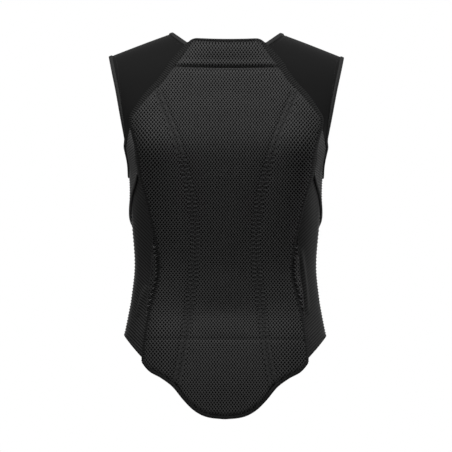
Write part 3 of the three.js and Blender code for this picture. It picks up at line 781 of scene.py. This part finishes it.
def blown(pad, columns, rows):
    """How far a pad's cover swells: a cloth sewn down along its edges and pressed out by the foam."""
    swell = np.zeros((rows + 1, columns + 1))
    bm = grid(columns, rows)
    across, up = flat_of(bm)[:, :2].T + 0.5
    x, z = pad.spread(across, up)
    start = on_cover(x, z, pad.cover.height(x, z))
    move(bm, start)
    mesh = mesh_of("cover_cloth", bm)
    sheet, scene = placed("cover_cloth", mesh), bpy.context.scene
    sewn = np.flatnonzero(np.maximum(np.abs(across - 0.5), np.abs(up - 0.5)) > 0.499)
    sheet.vertex_groups.new(name="sewn").add(sewn.tolist(), 1.0, "REPLACE")
    cloth = sheet.modifiers.new("cloth", "CLOTH")
    cloth.settings.vertex_group_mass = "sewn"
    cloth.settings.use_pressure = True
    cloth.settings.uniform_pressure_force = SWELL.pressure
    cloth.settings.effector_weights.gravity = 0
    cloth.settings.air_damping = SWELL.damping
    cloth.collision_settings.use_collision = False
    for step in range(1, SWELL.frames + 1):
        scene.frame_set(step)
    still = sheet.evaluated_get(bpy.context.evaluated_depsgraph_get())
    end = np.array([v.co for v in still.data.vertices]) / MM
    out = np.sum((end - start) * outward(on_back(x, z)), axis=1)
    scene.frame_set(1)
    bpy.data.objects.remove(sheet)
    bpy.data.meshes.remove(mesh)
    row, column = (np.rint(a * n).astype(int) for a, n in ((up, rows), (across, columns)))
    swell[row, column] = np.clip(out, 0, SWELL.most)
    for _ in range(SWELL.smooth):
        beside = swell[:-2, 1:-1] + swell[2:, 1:-1] + swell[1:-1, :-2] + swell[1:-1, 2:]
        swell[1:-1, 1:-1] = beside / 4
    return swell


def joined(*parts):
    """Several bmeshes as one."""
    whole = bmesh.new()
    for part in parts:
        mesh = mesh_of("part", part)
        whole.from_mesh(mesh)
        bpy.data.meshes.remove(mesh)
    return whole


def beside_seam(by):
    """An edge beside the right seam, out of reach where the seam has run out."""
    return lambda z: np.where(z > SEAM_TOP, FAR, seam_at(z) + by)


seam_inner, seam_outer = beside_seam(-BAND / 2), beside_seam(BAND / 2)


def spine_edge(z):
    return np.minimum(cover_half(z), seam_inner(z))


def band_edge(z):
    return np.minimum(cover_half(z), seam_outer(z))


NAPE = Cover(level(CREASE + 0.2), lambda x: neck_top(x) - GAP, neck_height)
DOWN_BACK = Cover(lambda x: tail_edge(x) - TAIL_LAP, level(CREASE - 0.2), back_height)
SPINE = Pad(DOWN_BACK, lambda z: -spine_edge(z), spine_edge, level(CROSS_SEAM), DOWN_BACK.top)
NECK = Pad(NAPE, lambda z: -cover_half(z), cover_half, NAPE.bottom, NAPE.top)
WING = Pad(DOWN_BACK, seam_outer, cover_half, level(CROSS_SEAM), level(SEAM_TOP))
SEAM_BAND = Pad(DOWN_BACK, seam_inner, band_edge, level(CROSS_SEAM), level(SEAM_TOP))
TAIL = Pad(DOWN_BACK, lambda z: -spine_edge(z), spine_edge, DOWN_BACK.bottom, level(CROSS_SEAM))
TAIL_WING = Pad(DOWN_BACK, seam_outer, cover_half, DOWN_BACK.bottom, level(CROSS_SEAM))
TAIL_BAND = Pad(DOWN_BACK, seam_inner, band_edge, DOWN_BACK.bottom, level(CROSS_SEAM))
MESH = [MESH_YARN, SPACER_AND_HOLE_SHADE, DRAWN_YARN]

CLOTHS = ((NECK, 40, 12), (SPINE, 40, 90), (WING, 16, 80), (TAIL, 30, 24), (TAIL_WING, 12, 16))
for pad, columns, rows in CLOTHS:
    pad.swell = blown(pad, columns, rows)

for node, pad, columns, rows in (
    ("neck_pad", NECK, 40, 16), ("spine_pad", SPINE, 26, 60), ("tail_pad", TAIL, 24, 24),
):
    made = joined(net_over(pad), pad_body(pad, columns, rows))
    finished(f"{node}_mesh", made, MESH, [node], sharp=100)
for node, pad, columns, rows in (
    ("wing_pad", WING, 16, 56), ("seam_band", SEAM_BAND, 4, 60),
    ("tail_wing", TAIL_WING, 14, 16), ("tail_band", TAIL_BAND, 4, 14),
):
    for side, turned in SIDES:
        made = turned(joined(net_over(pad), pad_body(pad, columns, rows)))
        sided(node, "mesh", side, made, MESH, sharp=100)


# Stitching of the back
CHEVRON = Sizes(pitch=6.5, half=2.6, start=-195, end=-490, lift=0.5, radius=0.62)
# Straight rows, with the points along each: down to the chevrons, and below the cross seam
STRAIGHT = ((SEAM_TOP - 12, CHEVRON.start, 60), (CROSS_SEAM - 4, -556, 40))


def along_seam(z, beside, lift):
    """A place on the mesh at a height, beside the middle of the right seam."""
    x = seam_at(z) + beside
    return raised(on_back(x, z), back_height(x, z) + lift)


def seam_stitching():
    """Two rows on a seam: straight stitches above, and pointed ones from the shoulder blades down."""
    bm = bmesh.new()
    count = round((CHEVRON.start - CHEVRON.end) / CHEVRON.pitch)
    for row in (-BAND / 2, BAND / 2):
        for straight in STRAIGHT:
            stitches(bm, along_seam(np.linspace(*straight), row, 0.3))
        for tip in np.linspace(CHEVRON.start, CHEVRON.end, count):
            for reach in (-CHEVRON.half, CHEVRON.half):
                z = np.array([tip, tip - CHEVRON.half])
                ends = along_seam(z, row + np.array([0, reach]), CHEVRON.lift)
                stitch(bm, *ends, outward(ends)[0], CHEVRON.radius)
    return bm


for side, turned in SIDES:
    finished(f"seam_band_stitching_{side}", turned(seam_stitching()), [SEAM_YARN])


# Waist gussets
def gusset_inner(z):
    return beside_side(z) - GUSSET.lap


def gusset_outer(z):
    t = np.clip((z - GUSSET.top) / (GUSSET.bottom - GUSSET.top), 0, 1)
    return beside_side(z) + GUSSET.least + GUSSET.width * np.sin(math.pi * t) ** 1.2


def on_gusset(x, z):
    """Places of the gusset, which slopes from the side tape, where it's sewn in, down to the side panel."""
    share = (x - gusset_inner(z)) / (gusset_outer(z) - gusset_inner(z))
    high = lerp(GUSSET.high, GUSSET.low, share)
    return raised(on_back(x, z), np.where(share < 0.01, GUSSET.sewn, high))


def gusset_place(u, v):
    z = lerp(GUSSET.bottom, GUSSET.top, v)
    return on_gusset(lerp(gusset_inner(z), gusset_outer(z), u), z)


def gusset_net():
    """The sliver of mesh beside the waist, its edge cells drawn to its outline."""
    wedge = Pad(None, gusset_inner, gusset_outer, level(GUSSET.bottom), level(GUSSET.top))
    bm = lattice(*wedge.spread(*shares(30)))
    trimmed(bm, wedge.inside)
    x, z, _ = flat_of(bm).T
    inner, outer = gusset_inner(z), gusset_outer(z)
    edge = np.array([v.is_boundary for v in bm.verts])
    x = np.select([edge & (x - inner < outer - x), edge], [inner, outer], x)
    move(bm, on_gusset(x, z))
    return opened(bm, [False] * len(bm.faces), GUSSET.deep)


# Ribbed tapes
TAPE_RIB = Sizes(pitch=3.5, rise=0.9)
# Height of a tape off the body by the share across it
TAPE_FALL = table("across height", (0, 9.0), (0.1, 9.7), (0.5, 9.3), (0.85, 7.6), (0.95, 6.4), (1, 5.0))


def tape(rows, top, bottom):
    """A tape down its table, with the ribs across it. It lies over the pad's edge and falls to the panel."""
    z = np.linspace(top, bottom, 400)
    middle = (read(rows, "inner", z) + read(rows, "outer", z)) / 2
    run = np.concatenate([[0], np.cumsum(np.hypot(np.diff(middle), np.diff(z)))])
    ribs = round(run[-1] / TAPE_RIB.pitch)

    def place(u, v):
        at = v * run[-1]
        zc, xc = np.interp(at, run, z), np.interp(at, run, middle)
        step = 2.0
        dx = np.interp(at + step, run, middle) - np.interp(at - step, run, middle)
        dz = np.interp(at + step, run, z) - np.interp(at - step, run, z)
        size = np.hypot(dx, dz)
        half = (read(rows, "outer", zc) - read(rows, "inner", zc)) / 2 * np.abs(dz) / size
        reach = (2 * u - 1) * half
        return on_back(xc - reach * dz / size, zc + reach * dx / size)

    # The ribs shape the tape and colour it: painted shade in the grooves, painted highlight on the crests
    def rib(u, v):
        return np.sin(math.pi * v * ribs) ** 2

    def top_of(u, v):
        return np.interp(u, *TAPE_FALL.values()) - TAPE_RIB.rise * (1 - rib(u, v))

    def beside_flap(u, v, w):
        return FLAP.side * flap_share(place(u, v)[:, 2]) * w

    return wall(8, ribs * 6, place, TAPE_FOOT, top_of, rib, beside_flap)


# Bound edges
OVERLOCK = 2.8  # spacing of the overlock thread along a bound edge
NECK_ENDS = Sizes(back=(61.5, -21.6), front=(5.5, -84.2))  # under the shoulder tape, and at the zip
ARM_ENDS = Sizes(back=-184, angles=(73, 110.5), front=-190)  # where its upright sides turn under the arm
# Sections: width and height, and where they start across from the edge and up from the body
NECK_SECTION = (6.9, 4.6, -1.0, -0.8)
ARM_SECTION = (6.0, 4.6, -1.0, -0.8)
TAIL_SECTION = (6.2, 9.4, 0.3, 0.0)
RIM_SECTION = (5.0, 11, -2.5, -1.5)


def neck_edge():
    t = np.linspace(0, 1, 24)
    x, z = map(np.append, NECK_ENDS.back, edge_at(NECK_BACK, t))
    behind = on_back(x, np.minimum(z, ridge(x)))
    t = np.linspace(0.01, 1, 60)
    x, z = map(np.append, edge_at(NECK_FRONT, t), NECK_ENDS.front)
    return evenly(np.concatenate([behind, on_front(x, z)]), OVERLOCK / 4)


def arm_edge():
    z = TIP[1] - (TIP[1] - ARM_ENDS.back) * np.linspace(0, 1, 60) ** 2
    behind = on_back(read(ARM_BACK, "x", z), z)
    angle = np.linspace(*ARM_ENDS.angles, 30)
    low = around(angle, read(ARM_LOW, "z", angle, "angle"))
    z = TIP[1] - (TIP[1] - ARM_ENDS.front) * np.linspace(1, 0.05, 50) ** 2
    before = on_front(read(ARM_FRONT, "x", z), z)
    loop = evenly(np.concatenate([behind, low, before]), 3)
    for _ in range(6):
        loop = (np.roll(loop, 1, 0) + 2 * loop + np.roll(loop, -1, 0)) / 4
    loop = evenly(np.concatenate([loop, loop[:1]]), OVERLOCK / 4)
    return loop[: len(loop) // 4 * 4]


def over_underarm(path):
    """How far the binding rises to take in the underarm panel's edge, which lies over the other panels."""
    _, y, z = path.T
    (start, down), (before, back) = (-168, 16), (55, 35)  # where it starts to rise, and over what length
    return (KNIT + LAP_GAP) * smoothstep((start - z) / down) * smoothstep((before - y) / back)


def tail_path():
    x = (TAIL_CORNER[0] + 2) * np.sin(np.linspace(-math.pi / 2, math.pi / 2, 120))  # just past the corner
    return evenly(on_back(x, tail_edge(x)), 3)


def neck_rim():
    x = np.linspace(-NECK_TOP.half, NECK_TOP.half, 60)
    z = neck_top(x)
    return sweep(on_back(x, z), RIM_SECTION, -1, back=stand_off(x, z))


for side, turned in SIDES:
    neck = sweep(neck_edge(), NECK_SECTION, -1, rib=0.5)
    arm = sweep(arm_edge(), ARM_SECTION, -1, True, 0.6, over_underarm(arm_edge()))
    for node, finish, made, cloth, slot in (
        ("shoulder_tape", "ribbed", tape(SHOULDER_TAPE, -17.5, -155.2), ELASTIC, "ribbed_tape"),
        ("side_tape", "ribbed", tape(SIDE_TAPE, -154.8, TAIL_CORNER[1]), ELASTIC, "ribbed_tape"),
        ("neck_binding", "folded", neck, JERSEY, "ribbed_tape"),
        ("arm_binding", "folded", arm, JERSEY, "smooth_binding"),
    ):
        sided(node, finish, side, turned(made), [cloth])
made = sweep(tail_path(), TAIL_SECTION, 1)
finished("tail_binding_folded", made, [BINDING], ["tail_binding"])
finished("neck_rim_folded", neck_rim(), [BINDING], ["neck_rim"])


# Cloth panels
ARM_TIP = -198  # lower end of the shoulder panel, under the underarm panel
BESIDE_ZIP = 6.9  # from the middle to the front panel's edge at the hem


def shoulder_place(u, v):
    """From the tape and neck edge (u = 0) to the armhole (u = 1), over the shoulder line to the front."""
    corner, crest = 0.55, 0.85  # shares up at which it leaves the tape and crosses the shoulder line
    z = lerp(ARM_TIP, NECK_BACK["z"][0], np.clip(v / corner, 0, 1))
    t = np.clip((v - corner) / (crest - corner), 0, 1)
    f = np.clip((v - crest) / (1 - crest), 0, 1)
    slant, upright = (read(rows, "outer", z) for rows in (SHOULDER_TAPE, SIDE_TAPE))
    beside = np.where(z > SIDE_TAPE["z"][0], slant, upright) - TURN_IN
    x_in, z_in = (np.where(v < corner, *ends) for ends in zip((beside, z), edge_at(NECK_BACK, t)))
    bend_in = bend_of(x_in, np.minimum(z_in, ridge(x_in)), BACK)
    x_yoke, z_yoke = edge_at(NECK_FRONT, f * YOKE.t)
    before = bend_of(x_yoke, np.minimum(z_yoke, ridge(x_yoke)), FRONT)
    x_in, bend_in = np.where(v > crest, x_yoke, x_in), np.where(v > crest, before, bend_in)
    z_back = TIP[1] - (TIP[1] - ARM_TIP) * np.clip(1 - v / crest, 0, 1) ** 2
    z_front = TIP[1] - (TIP[1] - YOKE.arm) * f**2
    x_out = np.where(v < crest, read(ARM_BACK, "x", z_back), read(ARM_FRONT, "x", z_front))
    x_in = np.minimum(x_in, x_out - 0.2)
    bend_out = np.where(v < crest, bend_of(x_out, z_back, BACK), bend_of(x_out, z_front, FRONT))
    return over_shoulder(lerp(x_in, x_out, u), lerp(bend_in, bend_out, u))


def front_place(u, v):
    """From the zip and neckline (u = 0) to the side seam and armhole (u = 1), hem to shoulder."""
    split = 0.6  # share up at which the zip and the side seam end
    below, low, t = v < split, np.clip(v / split, 0, 1), np.clip((v - split) / (1 - split), 0, 1)
    neck_x, neck_z = edge_at(NECK_FRONT, lerp(1, YOKE.t, t))
    z_in = np.where(below, lerp(HEM.front, NECK_FRONT["z"][-1], low), neck_z)
    x_in = np.where(below, lerp(BESIDE_ZIP, NECK_FRONT["x"][-1], low), neck_x)
    z_low, z_arm = lerp(HEM.front, ARM_FRONT["z"][0], low), lerp(ARM_FRONT["z"][0], YOKE.arm, t)
    z_out = np.where(below, z_low, z_arm)
    x_out = np.where(below, read(FRONT_SEAM, "x", z_low) - GAP / 2, read(ARM_FRONT, "x", z_arm))
    bend = lerp(bend_of(x_in, z_in, FRONT), bend_of(x_out, z_out, FRONT), u)
    return over_shoulder(lerp(x_in, x_out, u), bend)


def underarm_place(u, v):
    """From the lower edge (v = 0) up to the armhole (v = 1), and from the back round to the front seam."""
    point, foot, turn = -147.0, -186.0, 0.15  # its upper point, and where its edge comes to the armhole
    t = np.linspace(0, 1, 60)
    z = lerp(point, foot, t / turn)
    x = lerp(beside_side(point), read(ARM_BACK, "x", foot), t / turn)
    low_angle = lerp(*ARM_LOW["angle"][[0, -1]], (t - turn) / (1 - turn))
    top_angle = np.where(t < turn, angle_of(x, z, BACK), low_angle)
    top_z = np.where(t < turn, z, read(ARM_LOW, "z", top_angle, "angle"))
    arm_angle, arm_z = np.interp(u, t, top_angle), np.interp(u, t, top_z)
    hem_angle, hem_z = underarm_hem(u)
    z = lerp(hem_z, arm_z, v)

    def bow(end, seam):
        angle, low = underarm_hem(np.full(len(v), float(end)))
        at = lerp(low, top_z[-end], v)
        return seam(at) - lerp(angle, top_angle[-end], v)

    angle = lerp(hem_angle, arm_angle, v) + bow(0, rear_angle) * (1 - u) ** 4 + bow(1, front_angle) * u**4
    return around(angle, z)


def side_place(u, v):
    """From the hem (v = 0) up behind the underarm panel, and from the side tape round to the front seam."""
    rise = 1 - (1 - np.minimum(1, 2 * u)) ** 2  # close to straight as seen from behind
    hem = lerp(HEM.back, HEM.side, rise) + (HEM.front - HEM.side) * np.maximum(0, 2 * u - 1)
    z = lerp(hem, underarm_hem(u)[1] + UNDERARM_LAP, v)
    rear = angle_of(beside_side(z) - TURN_IN, z, BACK)
    return around(lerp(rear, front_angle(z), u), z)


KNIT_RIB = 0.9  # height of a rib of the knit
# Ribs: spacing up the panel, and rise for each mm across as seen from behind
SIDE_RIB = Sizes(pitch=5.6, slant=1.05)
UNDERARM_RIB = Sizes(pitch=4.4, slant=-0.8)
# Soft upright folds of the side panels: across and up at both ends
FOLDS = {"right": ((121, -345), (133, -455)), "left": ((129, -408), (141, -460))}
FOLD = Sizes(high=4.0, half=3.6)


def slanting_ribs(place, rib):
    """How far up a rib each place of a panel is. Past the side the ribs go on rising to the front."""

    def crest(u, v):
        x, y, z = place(u, v).T
        across = np.where(y > 0, 2 * read(BODY, "half_width", z) - x, x)
        return (0.5 + 0.5 * np.cos(2 * math.pi * (z - rib.slant * across) / rib.pitch)) ** 1.5

    return crest


def fold_height(x, z, ends):
    """Height of a fold that runs from end to end and dies away at both."""
    start, end = (np.array(e, float) for e in ends)
    run = end - start
    share = ((x - start[0]) * run[0] + (z - start[1]) * run[1]) / (run @ run)
    off = ((x - start[0]) * run[1] - (z - start[1]) * run[0]) / math.hypot(*run)
    return FOLD.high * np.sin(math.pi * np.clip(share, 0, 1)) ** 0.7 * np.exp(-((off / FOLD.half) ** 2))


def knit_panel(columns, rows, place, low, rib, fold=None):
    # The ribs shape the knit and colour it: painted shade in the grooves, painted highlight on the crests
    crest = slanting_ribs(place, rib)

    def lifted(u, v):
        x, y, z = place(u, v).T
        return low + (np.where(y < 0, fold_height(x, z, fold), 0) if fold else 0)

    top = lambda u, v: lifted(u, v) + KNIT - KNIT_RIB * (1 - crest(u, v))
    return wall(columns, rows, place, lifted, top, crest)


def cut_of(place):
    """The flat width, length and area, in metres, of a panel that lies close to the body."""
    points = place(*shares(60)).reshape(60, 60, 3) * MM
    across, up = np.diff(points, axis=1), np.diff(points, axis=0)
    width = np.linalg.norm(across, axis=2).sum(axis=1).max()
    length = np.linalg.norm(up, axis=2).sum(axis=0).max()
    return (width, length), np.linalg.norm(np.cross(across[:-1], up[:, :-1]), axis=2).sum()


def panel(side, bm, name, place, materials, slot, rests_on):
    """Finishes a panel of cloth that is drawn smooth over the body and sewn down round its edge."""
    finish = {"stretch_cloth": "cloth", "rib_knit": "knit", "mesh_cover": "mesh"}[slot]
    sharp = 100 if finish == "mesh" else 50
    piece = sided(name, finish, side, bm, materials, sharp)
    flat, area = cut_of(place)


# Panels: node, places, cloths, slot, and the nodes of the same side that it is sewn to or lies on
PANELS = (
    ("shoulder_panel", shoulder_place, [SHELL], "stretch_cloth", ("shoulder_tape", "front_panel")),
    ("front_panel", front_place, [SHELL], "stretch_cloth", ("shoulder_panel", "side_panel")),
    ("underarm_panel", underarm_place, [UNDERARM_KNIT], "rib_knit", ("side_panel", "arm_binding")),
    ("side_panel", side_place, [RIB_KNIT], "rib_knit", ("side_tape", "front_panel")),
    ("waist_gusset", gusset_place, [GUSSET_YARN, SPACER_AND_HOLE_SHADE], "mesh_cover", ("side_tape", "side_panel")),
)
for side, turned in SIDES:
    shapes = (
        wall(40, 60, shoulder_place, CLEAR, PANEL),
        wall(44, 80, front_place, CLEAR, PANEL),
        knit_panel(160, 150, underarm_place, KNIT + LAP_GAP, UNDERARM_RIB),
        knit_panel(100, 330, side_place, CLEAR, SIDE_RIB, FOLDS[side]),
        gusset_net(),
    )
    for made, row in zip(shapes, PANELS):
        panel(side, turned(made), *row)


# Hems, folded over and sewn: sections as for the bound edges
HEM_SECTION = (3.2, 3.0, -1.6, -0.2)
UNDERARM_SECTION = (2.6, 3.2, -1.3, KNIT + LAP_GAP - 0.3)


def hem_path():
    """The lower edge of the side and front panels, from the side tape round to the zip."""
    u = np.linspace(0, 1, 60)
    return evenly(np.concatenate([side_place(u, 0 * u), front_place(1 - u, 0 * u)]), 3)


def underarm_hem_path():
    u = np.linspace(0.015, 1, 80)
    return evenly(underarm_place(u, 0 * u), OVERLOCK / 4)


# Rows of sewing on the panels: shares across and up at both ends of the row, and the cloth's height
UNDERARM_TOP = 2 * KNIT + LAP_GAP
SEWN_ROWS = (
    (shoulder_place, (0.95, 0.95), (0.03, 0.97), PANEL),
    (shoulder_place, (0.06, 0.06), (0.58, 0.97), PANEL),
    (shoulder_place, (0.06, 0.94), (0.96, 0.96), PANEL),
    (front_place, (0.06, 0.06), (0.02, 0.98), PANEL),
    (front_place, (0.95, 0.95), (0.02, 0.98), PANEL),
    (front_place, (0.06, 0.95), (0.02, 0.02), PANEL),
    (underarm_place, (0.02, 0.98), (0.05, 0.05), UNDERARM_TOP),
    (side_place, (0.03, 0.97), (0.02, 0.02), KNIT),
)


def panel_sewing():
    bm = bmesh.new()
    steps = np.linspace(0, 1, 120)
    for place, across, up, height in SEWN_ROWS:
        stitches(bm, raised(place(lerp(*across, steps), lerp(*up, steps)), height + 0.1))
    return bm


for side, turned in SIDES:
    made = turned(sweep(hem_path(), HEM_SECTION, 1))
    finished(f"hem_fold_{side}", made, [BINDING])
    made = turned(sweep(underarm_hem_path(), UNDERARM_SECTION, 1, rib=0.3))
    finished(f"underarm_hem_fold_{side}", made, [UNDERARM_KNIT])
    finished(f"panel_sewing_{side}", turned(panel_sewing()), [THREAD])


# Closed zip
ZIP = Sizes(half=11, low=-1.4, high=0, top=-82.5, slider=-95)
COIL = Sizes(turn=1.2, reach=(-0.6, 2.6), lift=0.5, radius=0.75)
# Slider, bridge and pull: place above the slider's middle, lift, size across, out and up, and rounding
SLIDER = ((0, 1.8, (9, 4.4, 12), 1.5), (1, 4.6, (3, 2.2, 7), 0.8), (-13, 4.6, (6, 1.6, 26), 0.7))


def zip_tapes():
    place = lambda u, v: on_front(lerp(-ZIP.half, ZIP.half, u), lerp(HEM.front, ZIP.top, v))
    return wall(12, 120, place, ZIP.low, ZIP.high)


def zip_block(bm, z, lift, size, round_by):
    """Adds a rounded block to the zip, its size given across, outwards and up."""
    point = on_front(0, np.array([z]))
    across, out = Vector((1, 0, 0)), Vector(outward(point)[0])
    turn = Matrix((across, out, across.cross(out))).transposed().to_4x4()
    scale = Matrix.Diagonal((*(c * MM for c in size), 1))
    place = Matrix.Translation(Vector(raised(point, lift)[0]) * MM) @ turn @ scale
    block = bmesh.ops.create_cube(bm, size=1, matrix=place)["verts"]
    edges = list(dict.fromkeys(e for v in block for e in v.link_edges))
    bevel = {"segments": 3, "profile": 0.5, "affect": "EDGES", "material": -1}
    bmesh.ops.bevel(bm, geom=edges, offset=round_by * MM, **bevel)


def zip_coil():
    """The coil's turns, from one side and the other by turns, and the slider with its pull."""
    bm = bmesh.new()
    levels = np.arange(HEM.front + 3, ZIP.slider - 4, COIL.turn)
    for i, z in enumerate(levels):
        reach = np.array(COIL.reach) * (-1) ** i
        ends = raised(on_front(reach, z), ZIP.high + COIL.lift)
        stitch(bm, *ends, outward(ends)[0], COIL.radius)
    for above, lift, size, round_by in SLIDER:
        zip_block(bm, ZIP.slider + above, lift, size, round_by)
    paint(bm.faces, 1)
    return bm


made = joined(zip_tapes(), zip_coil())
finished("front_zip_closed", made, [BINDING, ZIP_COIL], ["front_zip"])

# Stage
FLOOR = Sizes(radius=1.3, height=-1.4)
bm = bmesh.new()
level_with = Matrix.Translation((0, 0, FLOOR.height))
bmesh.ops.create_circle(bm, cap_ends=True, segments=96, radius=FLOOR.radius, matrix=level_with)
floor = placed("studio_floor", mesh_of("studio_floor", bm))
FLOOR_PAINT, tree, shader = new_material("pale_floor_paint", roughness=0.8, specular=0.2)
shader.inputs["Base Color"].default_value = linear("#e8e8e8")
floor.data.materials.append(FLOOR_PAINT)

# A studio with a lit white wall before the vest, and a dim room round it
ROOM, WALL = 0.3, 1.0  # strengths
WALL_EDGE = math.cos(math.radians(40)), math.cos(math.radians(25))
world = bpy.data.worlds.new("studio")
world.use_nodes = True
tree = world.node_tree
direction = add(tree, "ShaderNodeTexCoord", {})
ahead = add(tree, "ShaderNodeSeparateXYZ", {"Vector": direction.outputs["Generated"]})
fade = {"From Min": WALL_EDGE[0], "From Max": WALL_EDGE[1], "To Min": ROOM, "To Max": WALL}
fade["Value"] = ahead.outputs["Y"]
lit = add(tree, "ShaderNodeMapRange", fade, interpolation_type="SMOOTHSTEP")
tree.links.new(lit.outputs["Result"], tree.nodes["Background"].inputs["Strength"])
tree.nodes["Background"].inputs["Color"].default_value = linear("#ffffff")
bpy.context.scene.world = world


# Softboxes: place, aim, size in metres, and watts
SOFTBOXES = {
    "overhead_left": ((-0.65, -0.8, 1.1), (0, -0.1, -0.2), (0.6, 0.5), 37.5),
    "overhead_right": ((0.55, -0.8, 1.1), (0, -0.1, -0.2), (0.6, 0.5), 28.5),
    "side": ((1.35, 0.4, -0.1), (0.15, 0, -0.35), (0.6, 1.0), 7.6),
}
for name, (place, aim, size, watts) in SOFTBOXES.items():
    light = bpy.data.lights.new(name, "AREA")
    light.shape = "RECTANGLE"
    light.size, light.size_y = size
    light.energy = watts
    lamp = placed(name, light)
    lamp.location = place
    lamp.rotation_euler = (Vector(aim) - Vector(place)).to_track_quat("-Z", "Y").to_euler()

bpy.context.scene.view_settings.view_transform = "Standard"

# Camera: straight behind with a long lens, rolled a little. A pixel of the 452 is 1.63 mm at the back plane.
PIXEL, SIZE, SENSOR = 1.63 * MM, 452, 36
DISTANCE, BACK_PLANE, MIDDLE, ROLL = 20.0, -0.06, (0.0006, -0.311), -0.25
camera_data = bpy.data.cameras.new("camera")
camera_data.sensor_width = SENSOR
camera_data.lens = SENSOR * (DISTANCE + BACK_PLANE) / (PIXEL * SIZE)
camera_data.clip_end = 3 * DISTANCE
camera = placed("camera", camera_data)
camera.location = (MIDDLE[0], -DISTANCE, MIDDLE[1])
camera.rotation_euler = (math.pi / 2, math.radians(ROLL), 0)
bpy.context.scene.camera = camera
